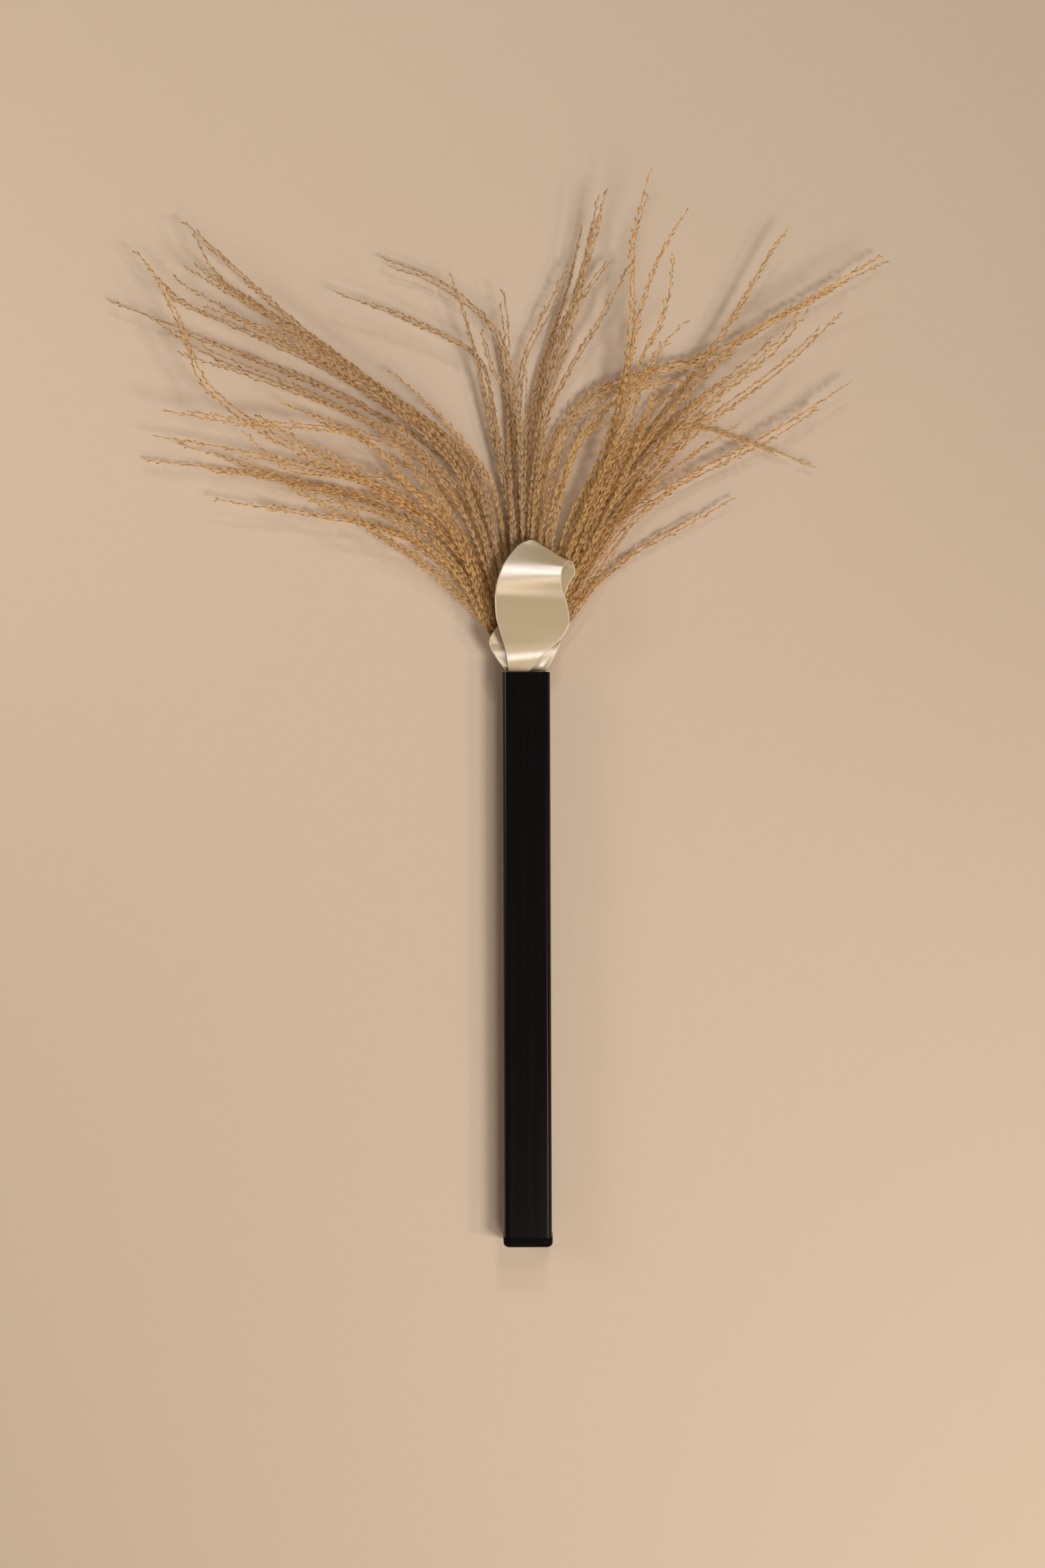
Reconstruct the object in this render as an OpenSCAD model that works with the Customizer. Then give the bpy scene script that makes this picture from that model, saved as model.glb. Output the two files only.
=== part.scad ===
// Slim wall vase: a black rectangular tube that hangs on a hooked steel plate,
// with a bunch of dried silver grass standing in it and a satin ribbon loop
// tucked into the front of its mouth.
// Origin: the middle of the plate, on the wall. Z is up, X is to the viewer's
// right and the room is on the minus Y side.

/* [Vase tube] */
// Outside width of the tube
tube_w = 40; // [34:1:80]
// Outside depth of the tube, wall side to room side
tube_d = 32; // [30:1:70]
// Length of the tube
tube_l = 472; // [300:1:700]
// Wall thickness of the tube
tube_wall = 2; // [1:0.5:3]
// Outside radius of the upright corners
tube_r = 5; // [3.5:0.5:8]
// How far the mouth lies above the middle of the plate
mouth_rise = 110; // [80:1:160]

/* [Bottom cap] */
// Height of the cap's head under the tube
head_t = 8; // [6:0.5:14]
// How far the head stands proud of the tube all round
head_lip = 0.6; // [0.2:0.1:2]
// Radius of the head's lower edge
head_edge_r = 4; // [1:0.5:5]
// Thickness of the cap's floor
floor_t = 3; // [2:0.5:5]
// Length of the plug inside the tube
plug_l = 14; // [8:1:30]
// Wall thickness of the plug
plug_wall = 1.6; // [1:0.2:2.4]
// How far the gripping fins stand out from the plug
fin_out = 0.8; // [0.4:0.1:1.2]
// Thickness of one fin
fin_t = 1.2; // [0.8:0.1:2]
// Number of fins
fin_count = 3; // [1:1:5]
// Clearance between a fin and the tube
fin_fit = 0.15; // [0.05:0.05:0.4]

/* [Wall plate] */
// Width of the plate
plate_w = 24; // [18:1:32]
// Height of the plate
plate_h = 100; // [90:1:140]
// Thickness of the plate
plate_t = 2.5; // [2:0.5:4]
// Corner radius of the plate
plate_r = 4; // [1:0.5:8]
// Distance between the two screw holes
screw_spacing = 80; // [70:1:110]
// Diameter of a screw hole
screw_d = 4.5; // [3.5:0.5:6]
// Diameter of the countersink
sink_d = 8; // [7:0.5:11]
// Depth of the countersink
sink_depth = 1.75; // [1:0.25:2]
// Distance between the two hooks
hook_spacing = 40; // [36:1:56]
// Width of a hook
hook_w = 10; // [6:1:14]
// Thickness of a hook
hook_t = 2; // [1.5:0.25:3]
// Height of the lip behind the tube's wall
hook_lip = 7; // [4:0.5:10]
// Clearance between the lip and the tube's wall
hook_play = 0.3; // [0.2:0.1:1]
// Gap between the plate and the tube
stand_off = 0.5; // [0.3:0.1:3]
// Clearance on each side of a hook in its slot
slot_play = 1; // [0.5:0.25:2]

/* [Wall pads] */
// Diameter of a wall pad
pad_d = 10; // [6:1:16]
// Distance between the two pads
pad_spacing = 20; // [16:1:24]
// Height of the pads above the tube's lower end
pad_rise = 24; // [20:1:80]

/* [Grass bunch] */
// Height of the tallest plume above the mouth
plume_h = 410; // [250:1:600]
// Diameter of a culm
culm_d = 2.8; // [2:0.1:3.2]
// Diameter of the swollen head that the racemes grow from
culm_head_d = 4.2; // [3.2:0.1:5]
// How far the culm heads lie below the mouth
culm_drop = 58; // [45:1:75]
// Spacing of the racemes where they pass the mouth
stalk_pitch = 1.7; // [1.6:0.05:1.8]
// Spacing of the racemes on a culm's head
root_pitch = 1.15; // [1:0.05:1.3]
// Thickness of a raceme's bare stalk
stalk_d = 0.8; // [0.7:0.05:0.85]
// Thickness of a raceme where its spikelets are widest
spike_d = 3.4; // [1.5:0.1:5]
// Length of raceme that one turn of spikelets takes
spike_step = 16; // [12:0.5:30]
// Distance between two racemes of a plume at the tips, wall side to room side
layer_step = 7.5; // [4:0.5:12]
// Gap between the wall and the rearmost tips
wall_gap = 9; // [5:0.5:30]
// Gap between the hooks and the bunch
bunch_gap = 3; // [1:0.25:5]
// Height over the mouth at which the racemes have parted
neck_rise = 40; // [25:1:60]
// Spacing of the parted racemes, wall side to room side
neck_pitch = 1.75; // [1.6:0.05:1.8]
// Gap between the wall and the rearmost parted raceme
neck_gap = 4.5; // [3:0.25:6]

/* [Bunch tie] */
// Height of the wire tie
tie_h = 6; // [3:0.5:12]
// Thickness of the wire tie
tie_t = 1.2; // [0.6:0.1:2]
// How far the top of the tie lies below the mouth
tie_drop = 18; // [12:1:36]
// Clearance between the tie and the stalks
tie_play = 0.3; // [0.2:0.1:1]

/* [Ribbon] */
// Width of the ribbon
ribbon_w = 62; // [40:1:80]
// Height of the loop above the mouth
ribbon_rise = 112; // [70:1:160]
// Length of ribbon tucked into the mouth
ribbon_tuck = 40; // [20:1:60]
// Thickness of the ribbon
ribbon_t = 0.5; // [0.3:0.1:0.8]
// Depth of the loop from its front to its back
ribbon_d = 19; // [12:0.5:30]
// Gap between the ribbon's tail and the front wall of the tube
ribbon_gap = 2.05; // [2:0.05:4]

/* [Hidden] */
$fn = 48;

// Overrun of a cutting shape past the face that it cuts
over = 1;
// Faces of the tube, and the levels that the pieces share
tube_back_y = -(plate_t + stand_off);
tube_mid_y = tube_back_y - tube_d / 2;
tube_front_y = tube_back_y - tube_d;
tube_low_z = mouth_rise - tube_l;
floor_z = tube_low_z - head_t + floor_t;
// Slots in the back wall: the tube lifts by the lip and a little more to come off
lift_spare = 1;
slot_w = hook_w + 2 * slot_play;
slot_h = hook_t + hook_lip + lift_spare + hook_t;
lip_front_y = tube_back_y - tube_wall - hook_play - hook_t;
// Plug of the cap
plug_w = tube_w - 2 * tube_wall - 2 * fin_fit - 2 * fin_out;
plug_d = tube_d - 2 * tube_wall - 2 * fin_fit - 2 * fin_out;
plug_r = max(tube_r - tube_wall - fin_fit - fin_out, plug_wall + fin_fit);
// Bunch: eight plumes side by side, two columns of racemes each, in five layers
rows = 5;
cols_per_plume = 2;
plumes = 8;
bunch_half_w = (plumes * cols_per_plume - 1) / 2 * stalk_pitch + stalk_d / 2;
bunch_half_d = (rows - 1) / 2 * stalk_pitch + stalk_d / 2;
bunch_y = lip_front_y - bunch_gap - bunch_half_d;
culm_stagger = culm_head_d / 2;
root_gap = 0.3;
// A culm has three swollen joints between its foot and its head: where they are, as shares
// of its length, and how far they swell and reach, as shares of its diameter
joint_shares = [0.2, 0.5, 0.78];
joint_swell_share = 0.12;
joint_len_share = 1.1;
// The head of a culm, and the taper under it, as shares of the head's diameter
head_top_share = 0.5;
head_taper_share = 2;
// Racemes are bare up to here, as a share of their reach, and widest near the middle
bare_share = 0.38;
tip_share = 0.35;
// Reach from which a raceme has spikelets of full size, as a share of the plume's height
full_share = 0.75;
// The swelling of the spikelets along a raceme leans towards its lower end
swell_power = 0.8;
// Where a raceme has parted, at most, as a share of the way to its first place
neck_share = 0.6;
// Points of the curve between two places of a raceme, before it is divided into steps
line_steps = 6;
// Reach, as a share of the plume's height, at which each plume may lean off its layer
spread_shares = [0.27, 0.27, 0.27, 0.42, 0.42, 0.3, 0.3, 0.3];

// Each raceme is a row of places that it passes, from just above the mouth to its tip: X and
// Z from the middle of the mouth, in hundredths of the plume's height. Two racemes share a
// layer, and the layers run from the wall to the room.
left_lower_shares = [
    [[-12.2, 20.7], [-27.1, 33.6], [-52.8, 40.7], [-77.6, 44.2]],
    [[-11.5, 21.4], [-24.4, 34.3], [-47.4, 40.1], [-70.7, 47.2]],
    [[-9.5, 14.6], [-25.7, 28.2], [-43.4, 32.3], [-63.7, 35.9]],
    [[-12.2, 23.4], [-25.7, 37], [-48.8, 43.8], [-75.9, 48.5]],
    [[-7.2, 8.9], [-19, 21], [-31.2, 28.9], [-38.6, 35.6], [-48.8, 38.3]],
    [[-11, 18.5], [-20.5, 26.5], [-33.2, 30.6], [-43, 35.6], [-52.4, 40]],
    [[-7, 8.5], [-16.3, 17.3], [-24, 24], [-31.8, 28.6]],
    [[-9.2, 12], [-13, 19.5], [-20.8, 28.5], [-28.5, 32.3], [-33.2, 33.3]],
    [[-14.5, 20.5], [-25, 30], [-31.2, 33.2], [-43.4, 35.2]],
];
left_middle_shares = [
    [[-9.5, 26], [-15, 36], [-22.8, 42.2], [-35.2, 48.8]],
    [[-5, 32], [-8.2, 42], [-17, 52.5], [-27.1, 61.8]],
    [[-10.8, 32.3], [-23, 45.5], [-36.6, 50.5], [-48.8, 55]],
    [[-12, 27.2], [-25, 38.3], [-36.6, 42.1], [-54.5, 52.6]],
    [[-11.6, 24], [-31.2, 37.7], [-51.2, 47.4], [-65, 58], [-69.6, 69.3], [-75.6, 81.7]],
    [[-12.4, 23.5], [-30, 38.5], [-47.4, 41.7], [-56.9, 48.5]],
    [[-11.4, 24.1], [-23.4, 37.3], [-35, 48], [-57.6, 50.3], [-72.2, 52.6]],
    [[-7.6, 12], [-13.6, 28.2], [-19.6, 39.4], [-24.4, 48.5], [-26.7, 49.9]],
    [[-8.6, 12.5], [-14.8, 28.2], [-22, 39.7], [-24.6, 43.8], [-27.6, 47.2]],
];
left_upper_shares = [
    [[-12.2, 39.7], [-33.9, 55.7], [-56.9, 65.7], [-84.8, 76.7]],
    [[-9.5, 41.7], [-27, 56.5], [-45.8, 71.3], [-69, 92.1]],
    [[-11.5, 39.7], [-32.5, 58], [-56.6, 70.2], [-70, 76.2], [-79.4, 86.3]],
    [[-10.8, 41.1], [-36.6, 63.9], [-60.3, 79.1], [-66.9, 88.6]],
    [[-12.2, 41.7], [-33.9, 59.1], [-55.6, 70.9], [-70.2, 79.4]],
    [[-12.2, 43.1], [-31.2, 58.7], [-52.8, 72.2], [-68.4, 81.7]],
    [[-8.8, 29.5], [-20.3, 43.4], [-42, 55.4], [-62.3, 63.3], [-74.8, 70.9]],
    [[-10.3, 34], [-16.9, 47.2], [-37.9, 62.3], [-56.9, 74.9], [-66, 81.4]],
    [[-11, 34], [-16.8, 44.4], [-31.2, 56.6], [-46.1, 65.9], [-63, 72.6]],
    [[-12.6, 32], [-25.7, 47.2], [-48.8, 56.9], [-69.1, 63.4]],
];
centre_left_shares = [
    [[-2.2, 30], [-3.8, 63.4], [-7, 72.2], [-16.9, 80.4], [-28.9, 85.4]],
    [[-1, 28], [-2, 49.9], [-0.7, 63.7], [3.4, 72.9], [8.4, 82.4]],
    [[-3, 34], [-6.5, 52], [-9.8, 64.4], [-23, 71.8], [-37.9, 77.6]],
    [[-1, 30], [-1.4, 48.5], [-3.1, 64.1], [-3.4, 71.5], [-4.5, 78.3]],
    [[-3, 29.5], [-7, 49.9], [-10.4, 65.7], [-14.9, 80.4]],
    [[-0.5, 25], [0, 45], [0.3, 61]],
    [[-2, 28], [-3.4, 39], [-4.7, 44.4], [-6.6, 56.6]],
    [[-1, 35], [-2, 54.6], [-6.5, 60.7], [-8.7, 68.2]],
    [[-2.6, 20], [-3, 40], [-3.6, 53]],
    [[-6.5, 28], [-9, 36], [-12.2, 43.1], [-17, 49]],
];
centre_right_shares = [
    [[-0.3, 28.2], [0.7, 52.6], [4.7, 67.5], [8.8, 79.7], [11.8, 91.9]],
    [[0.4, 32], [1.6, 50], [6.4, 68.8], [12.9, 78.3], [18, 84.8]],
    [[1.1, 32.3], [3.4, 56.6], [8.1, 71.5], [11.9, 83.7], [15, 96.6]],
    [[1.5, 27.5], [4.3, 50.5], [9.5, 62.1], [15.3, 71.5], [21, 82.4]],
    [[1.4, 36.3], [2.4, 49.9], [7.5, 66.1], [12.2, 81.7], [16.4, 97]],
    [[3.1, 27.5], [4.1, 32.3], [5.8, 39.7], [7.5, 45.1]],
    [[0.8, 24], [2, 38], [3.6, 50]],
];
right_upper_shares = [
    [[2.7, 36.3], [6.1, 49.2], [14, 58], [24.4, 62.1], [39.3, 66.4], [55.6, 75.3], [72.5, 85.1]],
    [[5, 30], [12, 48], [21.7, 57.5], [37.3, 60.5]],
    [[3.5, 30], [7.5, 46.5], [14, 54.5], [25, 60.4], [41.3, 64.1]],
    [[4.6, 30], [8.5, 44], [11.8, 50.5], [17.3, 55.3]],
    [[6.2, 30], [10.4, 46.5], [12.8, 48.8], [18.8, 51.9]],
    [[8.1, 29.5], [14.5, 43.1], [19.2, 56.6], [21.3, 72.2], [21.7, 86.5], [25.2, 100]],
    [[8.6, 27], [16.8, 46], [20.9, 62.7], [23.3, 73.6], [27.1, 83.7], [32.2, 91.5]],
    [[9.6, 27.5], [19, 49.2], [23.3, 62.3], [28, 71], [30.1, 83.5]],
    [[10, 27], [18.5, 46], [23.5, 58.7], [27, 65], [32.2, 69.9]],
    [[7, 20], [12.4, 34], [16.8, 43.5], [19.8, 50]],
];
right_middle_shares = [
    [[7, 27], [18, 44], [32, 51], [46.1, 47.8], [58.5, 42.7]],
    [[7.6, 20], [16.2, 38], [25.6, 53], [34.6, 60.7]],
    [[10.6, 25], [23, 46], [36.6, 63.4], [43.4, 73.3], [48.4, 82.1], [53.5, 90.2]],
    [[9.8, 24], [20, 40], [31, 52], [45, 62]],
    [[8.8, 22], [23.5, 46], [42.7, 66.5], [57, 75], [73.4, 82.8]],
    [[10, 24], [22.5, 41], [35.2, 54.6], [49.5, 66.8]],
    [[12.2, 26], [24.4, 41.7], [39.3, 55.3], [50.8, 64.8], [57.3, 72.9]],
    [[8.7, 17.3], [16.3, 36], [22.4, 48], [28.5, 60]],
    [[8, 19], [15, 35.5], [19.9, 46], [23, 55]],
    [[8.6, 17], [17.2, 33.6], [23, 47.2], [26.4, 58.9]],
];
right_lower_shares = [
    [[9.1, 12.5], [21, 23.5], [31.8, 29.5], [42.3, 35.6]],
    [[8.4, 16.8], [16.6, 30], [31.2, 39.4], [50, 49], [66.4, 59.1]],
    [[9.5, 17], [20, 35], [28.5, 47], [36.5, 55.5]],
    [[9.8, 16], [20, 32.5], [29, 43], [40, 57.5]],
    [[9.6, 17.5], [19, 33.8], [28.5, 46], [38, 53]],
    [[9.9, 19], [20.7, 34.5], [35, 48.5], [52, 61], [63.7, 72]],
    [[8.5, 15], [19, 31], [30, 41], [43, 50]],
    [[10.5, 14], [19.5, 27.5], [28, 35.5], [36, 41]],
    [[8.6, 13], [16, 25], [22, 33], [28, 40.5]],
    [[7.5, 8.5], [12.5, 16], [18, 25], [22, 31]],
];
plume_shares = [
    left_lower_shares, left_middle_shares, left_upper_shares, centre_left_shares,
    centre_right_shares, right_upper_shares, right_middle_shares, right_lower_shares
];

// The ribbon from its front tail over the top to its back tail, one row for each station:
// height over the mouth as a share of the rise (of the tuck below it), depth from the tail's
// plane as a share of the loop's depth, then middle, half width, drop of the edges and depth
// of the folds as shares of the ribbon's width.
ribbon_shares = [
    [-1, 0, -0.01, 0.2, 0, 0.024],
    [0, 0, -0.02, 0.21, 0, 0.024],
    [0.1, 0.08, 0.03, 0.31, 0, 0.02],
    [0.24, 0.36, 0.09, 0.42, 0, 0.01],
    [0.45, 0.66, 0.08, 0.49, 0, 0],
    [0.66, 0.76, 0.05, 0.46, 0.05, 0],
    [0.88, 0.58, 0.08, 0.43, 0.16, 0],
    [1, 0.16, 0.07, 0.42, 0.24, 0],
    [0.9, -0.2, 0.12, 0.45, 0.16, 0],
    [0.68, -0.3, 0.14, 0.49, 0.04, 0],
    [0.36, -0.3, 0.02, 0.49, 0, 0],
    [0.14, -0.28, -0.01, 0.38, 0, 0.012],
    [0, -0.26, 0, 0.24, 0, 0.024],
    [-1, -0.26, 0, 0.21, 0, 0.024],
];
ribbon_along = 3;
ribbon_across = 12;
ribbon_folds = 2;
ribbon_y = tube_front_y + tube_wall + ribbon_gap;

// A point on the smooth curve through b and c, between a and d
function spline(a, b, c, d, t) = (
    2 * b + (c - a) * t
    + (2 * a - 5 * b + 4 * c - d) * t * t
    + (3 * b - a - 3 * c + d) * t * t * t
) / 2;
function row_at(p, i) = p[min(max(i, 0), len(p) - 1)];
function smooth(p, n) = [
    for (i = [0 : len(p) - 2], k = [0 : n - 1])
        spline(row_at(p, i - 1), p[i], p[i + 1], row_at(p, i + 2), k / n),
    p[len(p) - 1]
];
function unit(v) = v / norm(v);

// Where column c and layer r of plume p pass the mouth, and where they root on the culm
function culm_x(p) = (p - (plumes - 1) / 2) * cols_per_plume * stalk_pitch;
function culm_y(p) = bunch_y + (p % 2 == 0 ? culm_stagger : -culm_stagger);
function side(i) = i % cols_per_plume - (cols_per_plume - 1) / 2;
function layer(i) = floor(i / cols_per_plume) - (rows - 1) / 2;
function stalk_at(p, i, z) = [culm_x(p) + side(i) * stalk_pitch, bunch_y - layer(i) * stalk_pitch, z];
function root_at(p, i, z) = [culm_x(p) + side(i) * root_pitch, culm_y(p) - layer(i) * root_pitch, z];

// Depth of a raceme: parted above the mouth, and fanning out past the spread, so that no
// raceme changes places with another one
function turn(p, i) = i + (p % 2) / 2;
function opened(p, reach) =
    let (start = spread_shares[p])
    max(0, reach / plume_h - start) / (1 - start);
function lean(p, i, reach) =
    let (wide = opened(p, reach))
    -(neck_gap + (wall_gap - neck_gap) * wide)
    - turn(p, i) * (neck_pitch + (layer_step - neck_pitch) * wide);

function raceme_places(p, i) =
    let (row = plume_shares[p][i] * plume_h / 100)
    let (mouth = stalk_at(p, i, mouth_rise))
    let (part = min(neck_rise / row[0][1], neck_share))
    [
        root_at(p, i, mouth_rise - culm_drop),
        stalk_at(p, i, mouth_rise - tie_drop - tie_h),
        mouth,
        [mouth[0] + (row[0][0] - mouth[0]) * part, lean(p, i, 0), mouth_rise + row[0][1] * part],
        for (q = row) [q[0], lean(p, i, norm(q)), mouth_rise + q[1]]
    ];

// The smooth line of a raceme, with a point every half step
function running(p, i = 0, s = 0) = i >= len(p)
    ? []
    : concat([s], running(p, i + 1, i + 1 < len(p) ? s + norm(p[i + 1] - p[i]) : s));
function along(line, run, axis, s) = lookup(s, [for (i = [0 : len(line) - 1]) [run[i], line[i][axis]]]);
function raceme_line(p, i) =
    let (line = smooth(raceme_places(p, i), line_steps))
    let (run = running(line))
    let (full = run[len(run) - 1])
    let (n = ceil(full / spike_step))
    [for (k = [0 : n]) [for (axis = [0 : 2]) along(line, run, axis, full * k / n)]];

// A short raceme has smaller spikelets than a long one
function spike_size(p, i) =
    let (row = plume_shares[p][i])
    min(1, norm(row[len(row) - 1]) / 100 / full_share);
function spike_r(t, size) =
    let (u = min(max((t - bare_share) / (1 - bare_share), 0), 1))
    let (full = pow(sin(180 * pow(u, swell_power)), swell_power) * size)
    t >= 1 ? stalk_d / 2 * tip_share : (stalk_d + (spike_d - stalk_d) * full) / 2;

// One raceme: a slim solid of three sides, turned at each spikelet the other way
module raceme(p, i) {
    line = raceme_line(p, i);
    size = spike_size(p, i);
    n = len(line);
    ring = [
        for (k = [0 : n - 1])
            let (ahead = unit(line[min(k + 1, n - 1)] - line[max(k - 1, 0)]))
            let (across = unit(cross(ahead, [0, 1, 0])))
            let (front = cross(ahead, across))
            for (j = [0 : 2])
                let (angle = 120 * j + 60 * (k % 2))
                line[k] + (cos(angle) * across + sin(angle) * front) * spike_r(k / (n - 1), size)
    ];
    skin = [
        for (k = [0 : n - 2], j = [0 : 2])
            let (a = 3 * k + j)
            let (b = 3 * k + (j + 1) % 3)
            let (shift = k % 2)
            let (c = 3 * (k + 1) + (j + shift) % 3)
            let (d = 3 * (k + 1) + (j + shift + 2) % 3)
            each [[a, c, b], [a, d, c]]
    ];
    polyhedron(
        points = ring,
        faces = concat(skin, [[0, 1, 2]], [[3 * n - 1, 3 * n - 2, 3 * n - 3]])
    );
}

module plume(p, shade) {
    color(shade)
        for (i = [0 : len(plume_shares[p]) - 1])
            raceme(p, i);
}

module plume_left_lower() { plume(0, "#a4703c"); }
module plume_left_middle() { plume(1, "#a9743e"); }
module plume_left_upper() { plume(2, "#a06a35"); }
module plume_centre_left() { plume(3, "#b8935f"); }
module plume_centre_right() { plume(4, "#b08a57"); }
module plume_right_upper() { plume(5, "#a5773f"); }
module plume_right_middle() { plume(6, "#a97c47"); }
module plume_right_lower() { plume(7, "#a67441"); }

// A culm: a reed with swollen joints, standing on the cap's floor
module culm(p) {
    top_z = mouth_rise - culm_drop - root_gap;
    long = top_z - floor_z;
    joint_l = culm_d * joint_len_share;
    joint_r = culm_d / 2 + culm_d * joint_swell_share;
    color("#b99a5f")
        translate([culm_x(p), culm_y(p), floor_z])
            rotate_extrude($fn = 24)
                polygon([
                    [0, 0],
                    [culm_d / 2, 0],
                    for (share = joint_shares) each [
                        [culm_d / 2, long * share - joint_l],
                        [joint_r, long * share - joint_l / 4],
                        [joint_r, long * share + joint_l / 4],
                        [culm_d / 2, long * share + joint_l]
                    ],
                    [culm_d / 2, long - culm_head_d * head_taper_share],
                    [culm_head_d / 2, long - culm_head_d * head_top_share],
                    [culm_head_d / 2, long],
                    [0, long]
                ]);
}

module culm_left_lower() { culm(0); }
module culm_left_middle() { culm(1); }
module culm_left_upper() { culm(2); }
module culm_centre_left() { culm(3); }
module culm_centre_right() { culm(4); }
module culm_right_upper() { culm(5); }
module culm_right_middle() { culm(6); }
module culm_right_lower() { culm(7); }

// A rectangle with round corners, drawn from its middle
module round_rect(w, d, r) {
    square([w - 2 * r, d], center = true);
    square([w, d - 2 * r], center = true);
    for (x = [-1, 1], y = [-1, 1])
        translate([x * (w / 2 - r), y * (d / 2 - r)])
            circle(r);
}

// The tube with its two hanging slots in the back wall
module vase_tube() {
    color("#1b1a19")
        difference() {
            translate([0, tube_mid_y, tube_low_z])
                linear_extrude(tube_l)
                    difference() {
                        round_rect(tube_w, tube_d, tube_r);
                        round_rect(tube_w - 2 * tube_wall, tube_d - 2 * tube_wall, tube_r - tube_wall);
                    }
            for (z = [-1, 1])
                translate([
                    -slot_w / 2,
                    tube_back_y - tube_wall - over,
                    z * hook_spacing / 2 - slot_h
                ])
                    cube([slot_w, tube_wall + 2 * over, slot_h]);
        }
}

// The cap: a head with a round lower edge, and a finned plug with a well in it
module bottom_cap() {
    fin_pitch = plug_l / (fin_count + 1);
    head_w = tube_w + 2 * head_lip;
    head_d = tube_d + 2 * head_lip;
    head_r = max(tube_r, head_edge_r) + head_lip;
    color("#161514")
        translate([0, tube_mid_y, tube_low_z])
            difference() {
                union() {
                    translate([0, 0, -head_t])
                        hull()
                            for (x = [-1, 1], y = [-1, 1])
                                translate([x * (head_w / 2 - head_r), y * (head_d / 2 - head_r), 0])
                                    rotate_extrude($fn = 32)
                                        head_profile(head_r);
                    linear_extrude(plug_l)
                        round_rect(plug_w, plug_d, plug_r);
                    for (k = [1 : fin_count])
                        translate([0, 0, k * fin_pitch - fin_t / 2])
                            linear_extrude(fin_t)
                                round_rect(plug_w + 2 * fin_out, plug_d + 2 * fin_out, plug_r + fin_out);
                }
                translate([0, 0, floor_t - head_t])
                    linear_extrude(head_t - floor_t + plug_l + over)
                        round_rect(plug_w - 2 * plug_wall, plug_d - 2 * plug_wall, plug_r - plug_wall / 2);
            }
}

module head_profile(r) {
    steps = 6;
    polygon([
        [0, 0],
        for (k = [0 : steps])
            [r - head_edge_r + head_edge_r * sin(90 * k / steps),
             head_edge_r - head_edge_r * cos(90 * k / steps)],
        [r, head_t],
        [0, head_t]
    ]);
}

// The plate: two countersunk holes, and two hooks bent out of windows
module wall_plate() {
    color("#8d8f92")
        union() {
            difference() {
                rotate([90, 0, 0])
                    linear_extrude(plate_t)
                        round_rect(plate_w, plate_h, plate_r);
                for (z = [-1, 1])
                    translate([0, 0, z * screw_spacing / 2])
                        screw_hole();
                for (z = [-1, 1])
                    translate([0, 0, z * hook_spacing / 2])
                        hook_window();
            }
            for (z = [-1, 1])
                translate([0, 0, z * hook_spacing / 2])
                    hook();
        }
}

module screw_hole() {
    rotate([90, 0, 0]) {
        translate([0, 0, -over])
            cylinder(h = plate_t + 2 * over, d = screw_d);
        translate([0, 0, plate_t - sink_depth])
            cylinder(h = sink_depth, d1 = screw_d, d2 = sink_d);
        translate([0, 0, plate_t])
            cylinder(h = over, d = sink_d);
    }
}

module hook_window() {
    window_h = -lip_front_y - plate_t + hook_lip;
    translate([-hook_w / 2 - slot_play / 2, -plate_t - over, 0])
        cube([hook_w + slot_play, plate_t + 2 * over, window_h]);
}

// The shelf under the slot's upper edge, with its lip inside the tube
module hook() {
    shelf = -lip_front_y;
    rotate([90, 0, 90])
        translate([0, 0, -hook_w / 2])
            linear_extrude(hook_w) {
                translate([-shelf + hook_t, -hook_t])
                    square([shelf - hook_t, hook_t]);
                translate([-shelf, 0])
                    square([hook_t, hook_lip]);
                intersection() {
                    translate([-shelf + hook_t, 0])
                        circle(hook_t);
                    translate([-shelf, -hook_t])
                        square([hook_t, hook_t]);
                }
            }
}

// A rubber pad that keeps the lower end of the tube off the wall
module pad(side) {
    color("#2a2a2b")
        translate([side * pad_spacing / 2, 0, tube_low_z + pad_rise])
            rotate([90, 0, 0])
                cylinder(h = -tube_back_y, d = pad_d);
}

module pad_left() { pad(-1); }
module pad_right() { pad(1); }

// The wire tie that holds the stalks together under the mouth
module bunch_tie() {
    in_w = 2 * (bunch_half_w + tie_play);
    in_d = 2 * (bunch_half_d + tie_play);
    in_r = stalk_d;
    color("#7c6a3c")
        translate([0, bunch_y, mouth_rise - tie_drop - tie_h])
            linear_extrude(tie_h)
                difference() {
                    round_rect(in_w + 2 * tie_t, in_d + 2 * tie_t, in_r + tie_t);
                    round_rect(in_w, in_d, in_r);
                }
}

// The ribbon: a thin sheet through its stations, folded where the mouth pinches it
function ribbon_point(row, v) = [
    ribbon_w * (row[2] + row[3] * v),
    ribbon_y - ribbon_d * row[1] + ribbon_w * row[5] * cos(180 * ribbon_folds * v),
    mouth_rise + (row[0] < 0 ? ribbon_tuck : ribbon_rise) * row[0] - ribbon_w * row[4] * v * v
];
function facing(g, i, j) =
    let (du = g[min(i + 1, len(g) - 1)][j] - g[max(i - 1, 0)][j])
    let (dv = g[i][min(j + 1, len(g[i]) - 1)] - g[i][max(j - 1, 0)])
    unit(cross(du, dv));

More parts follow.
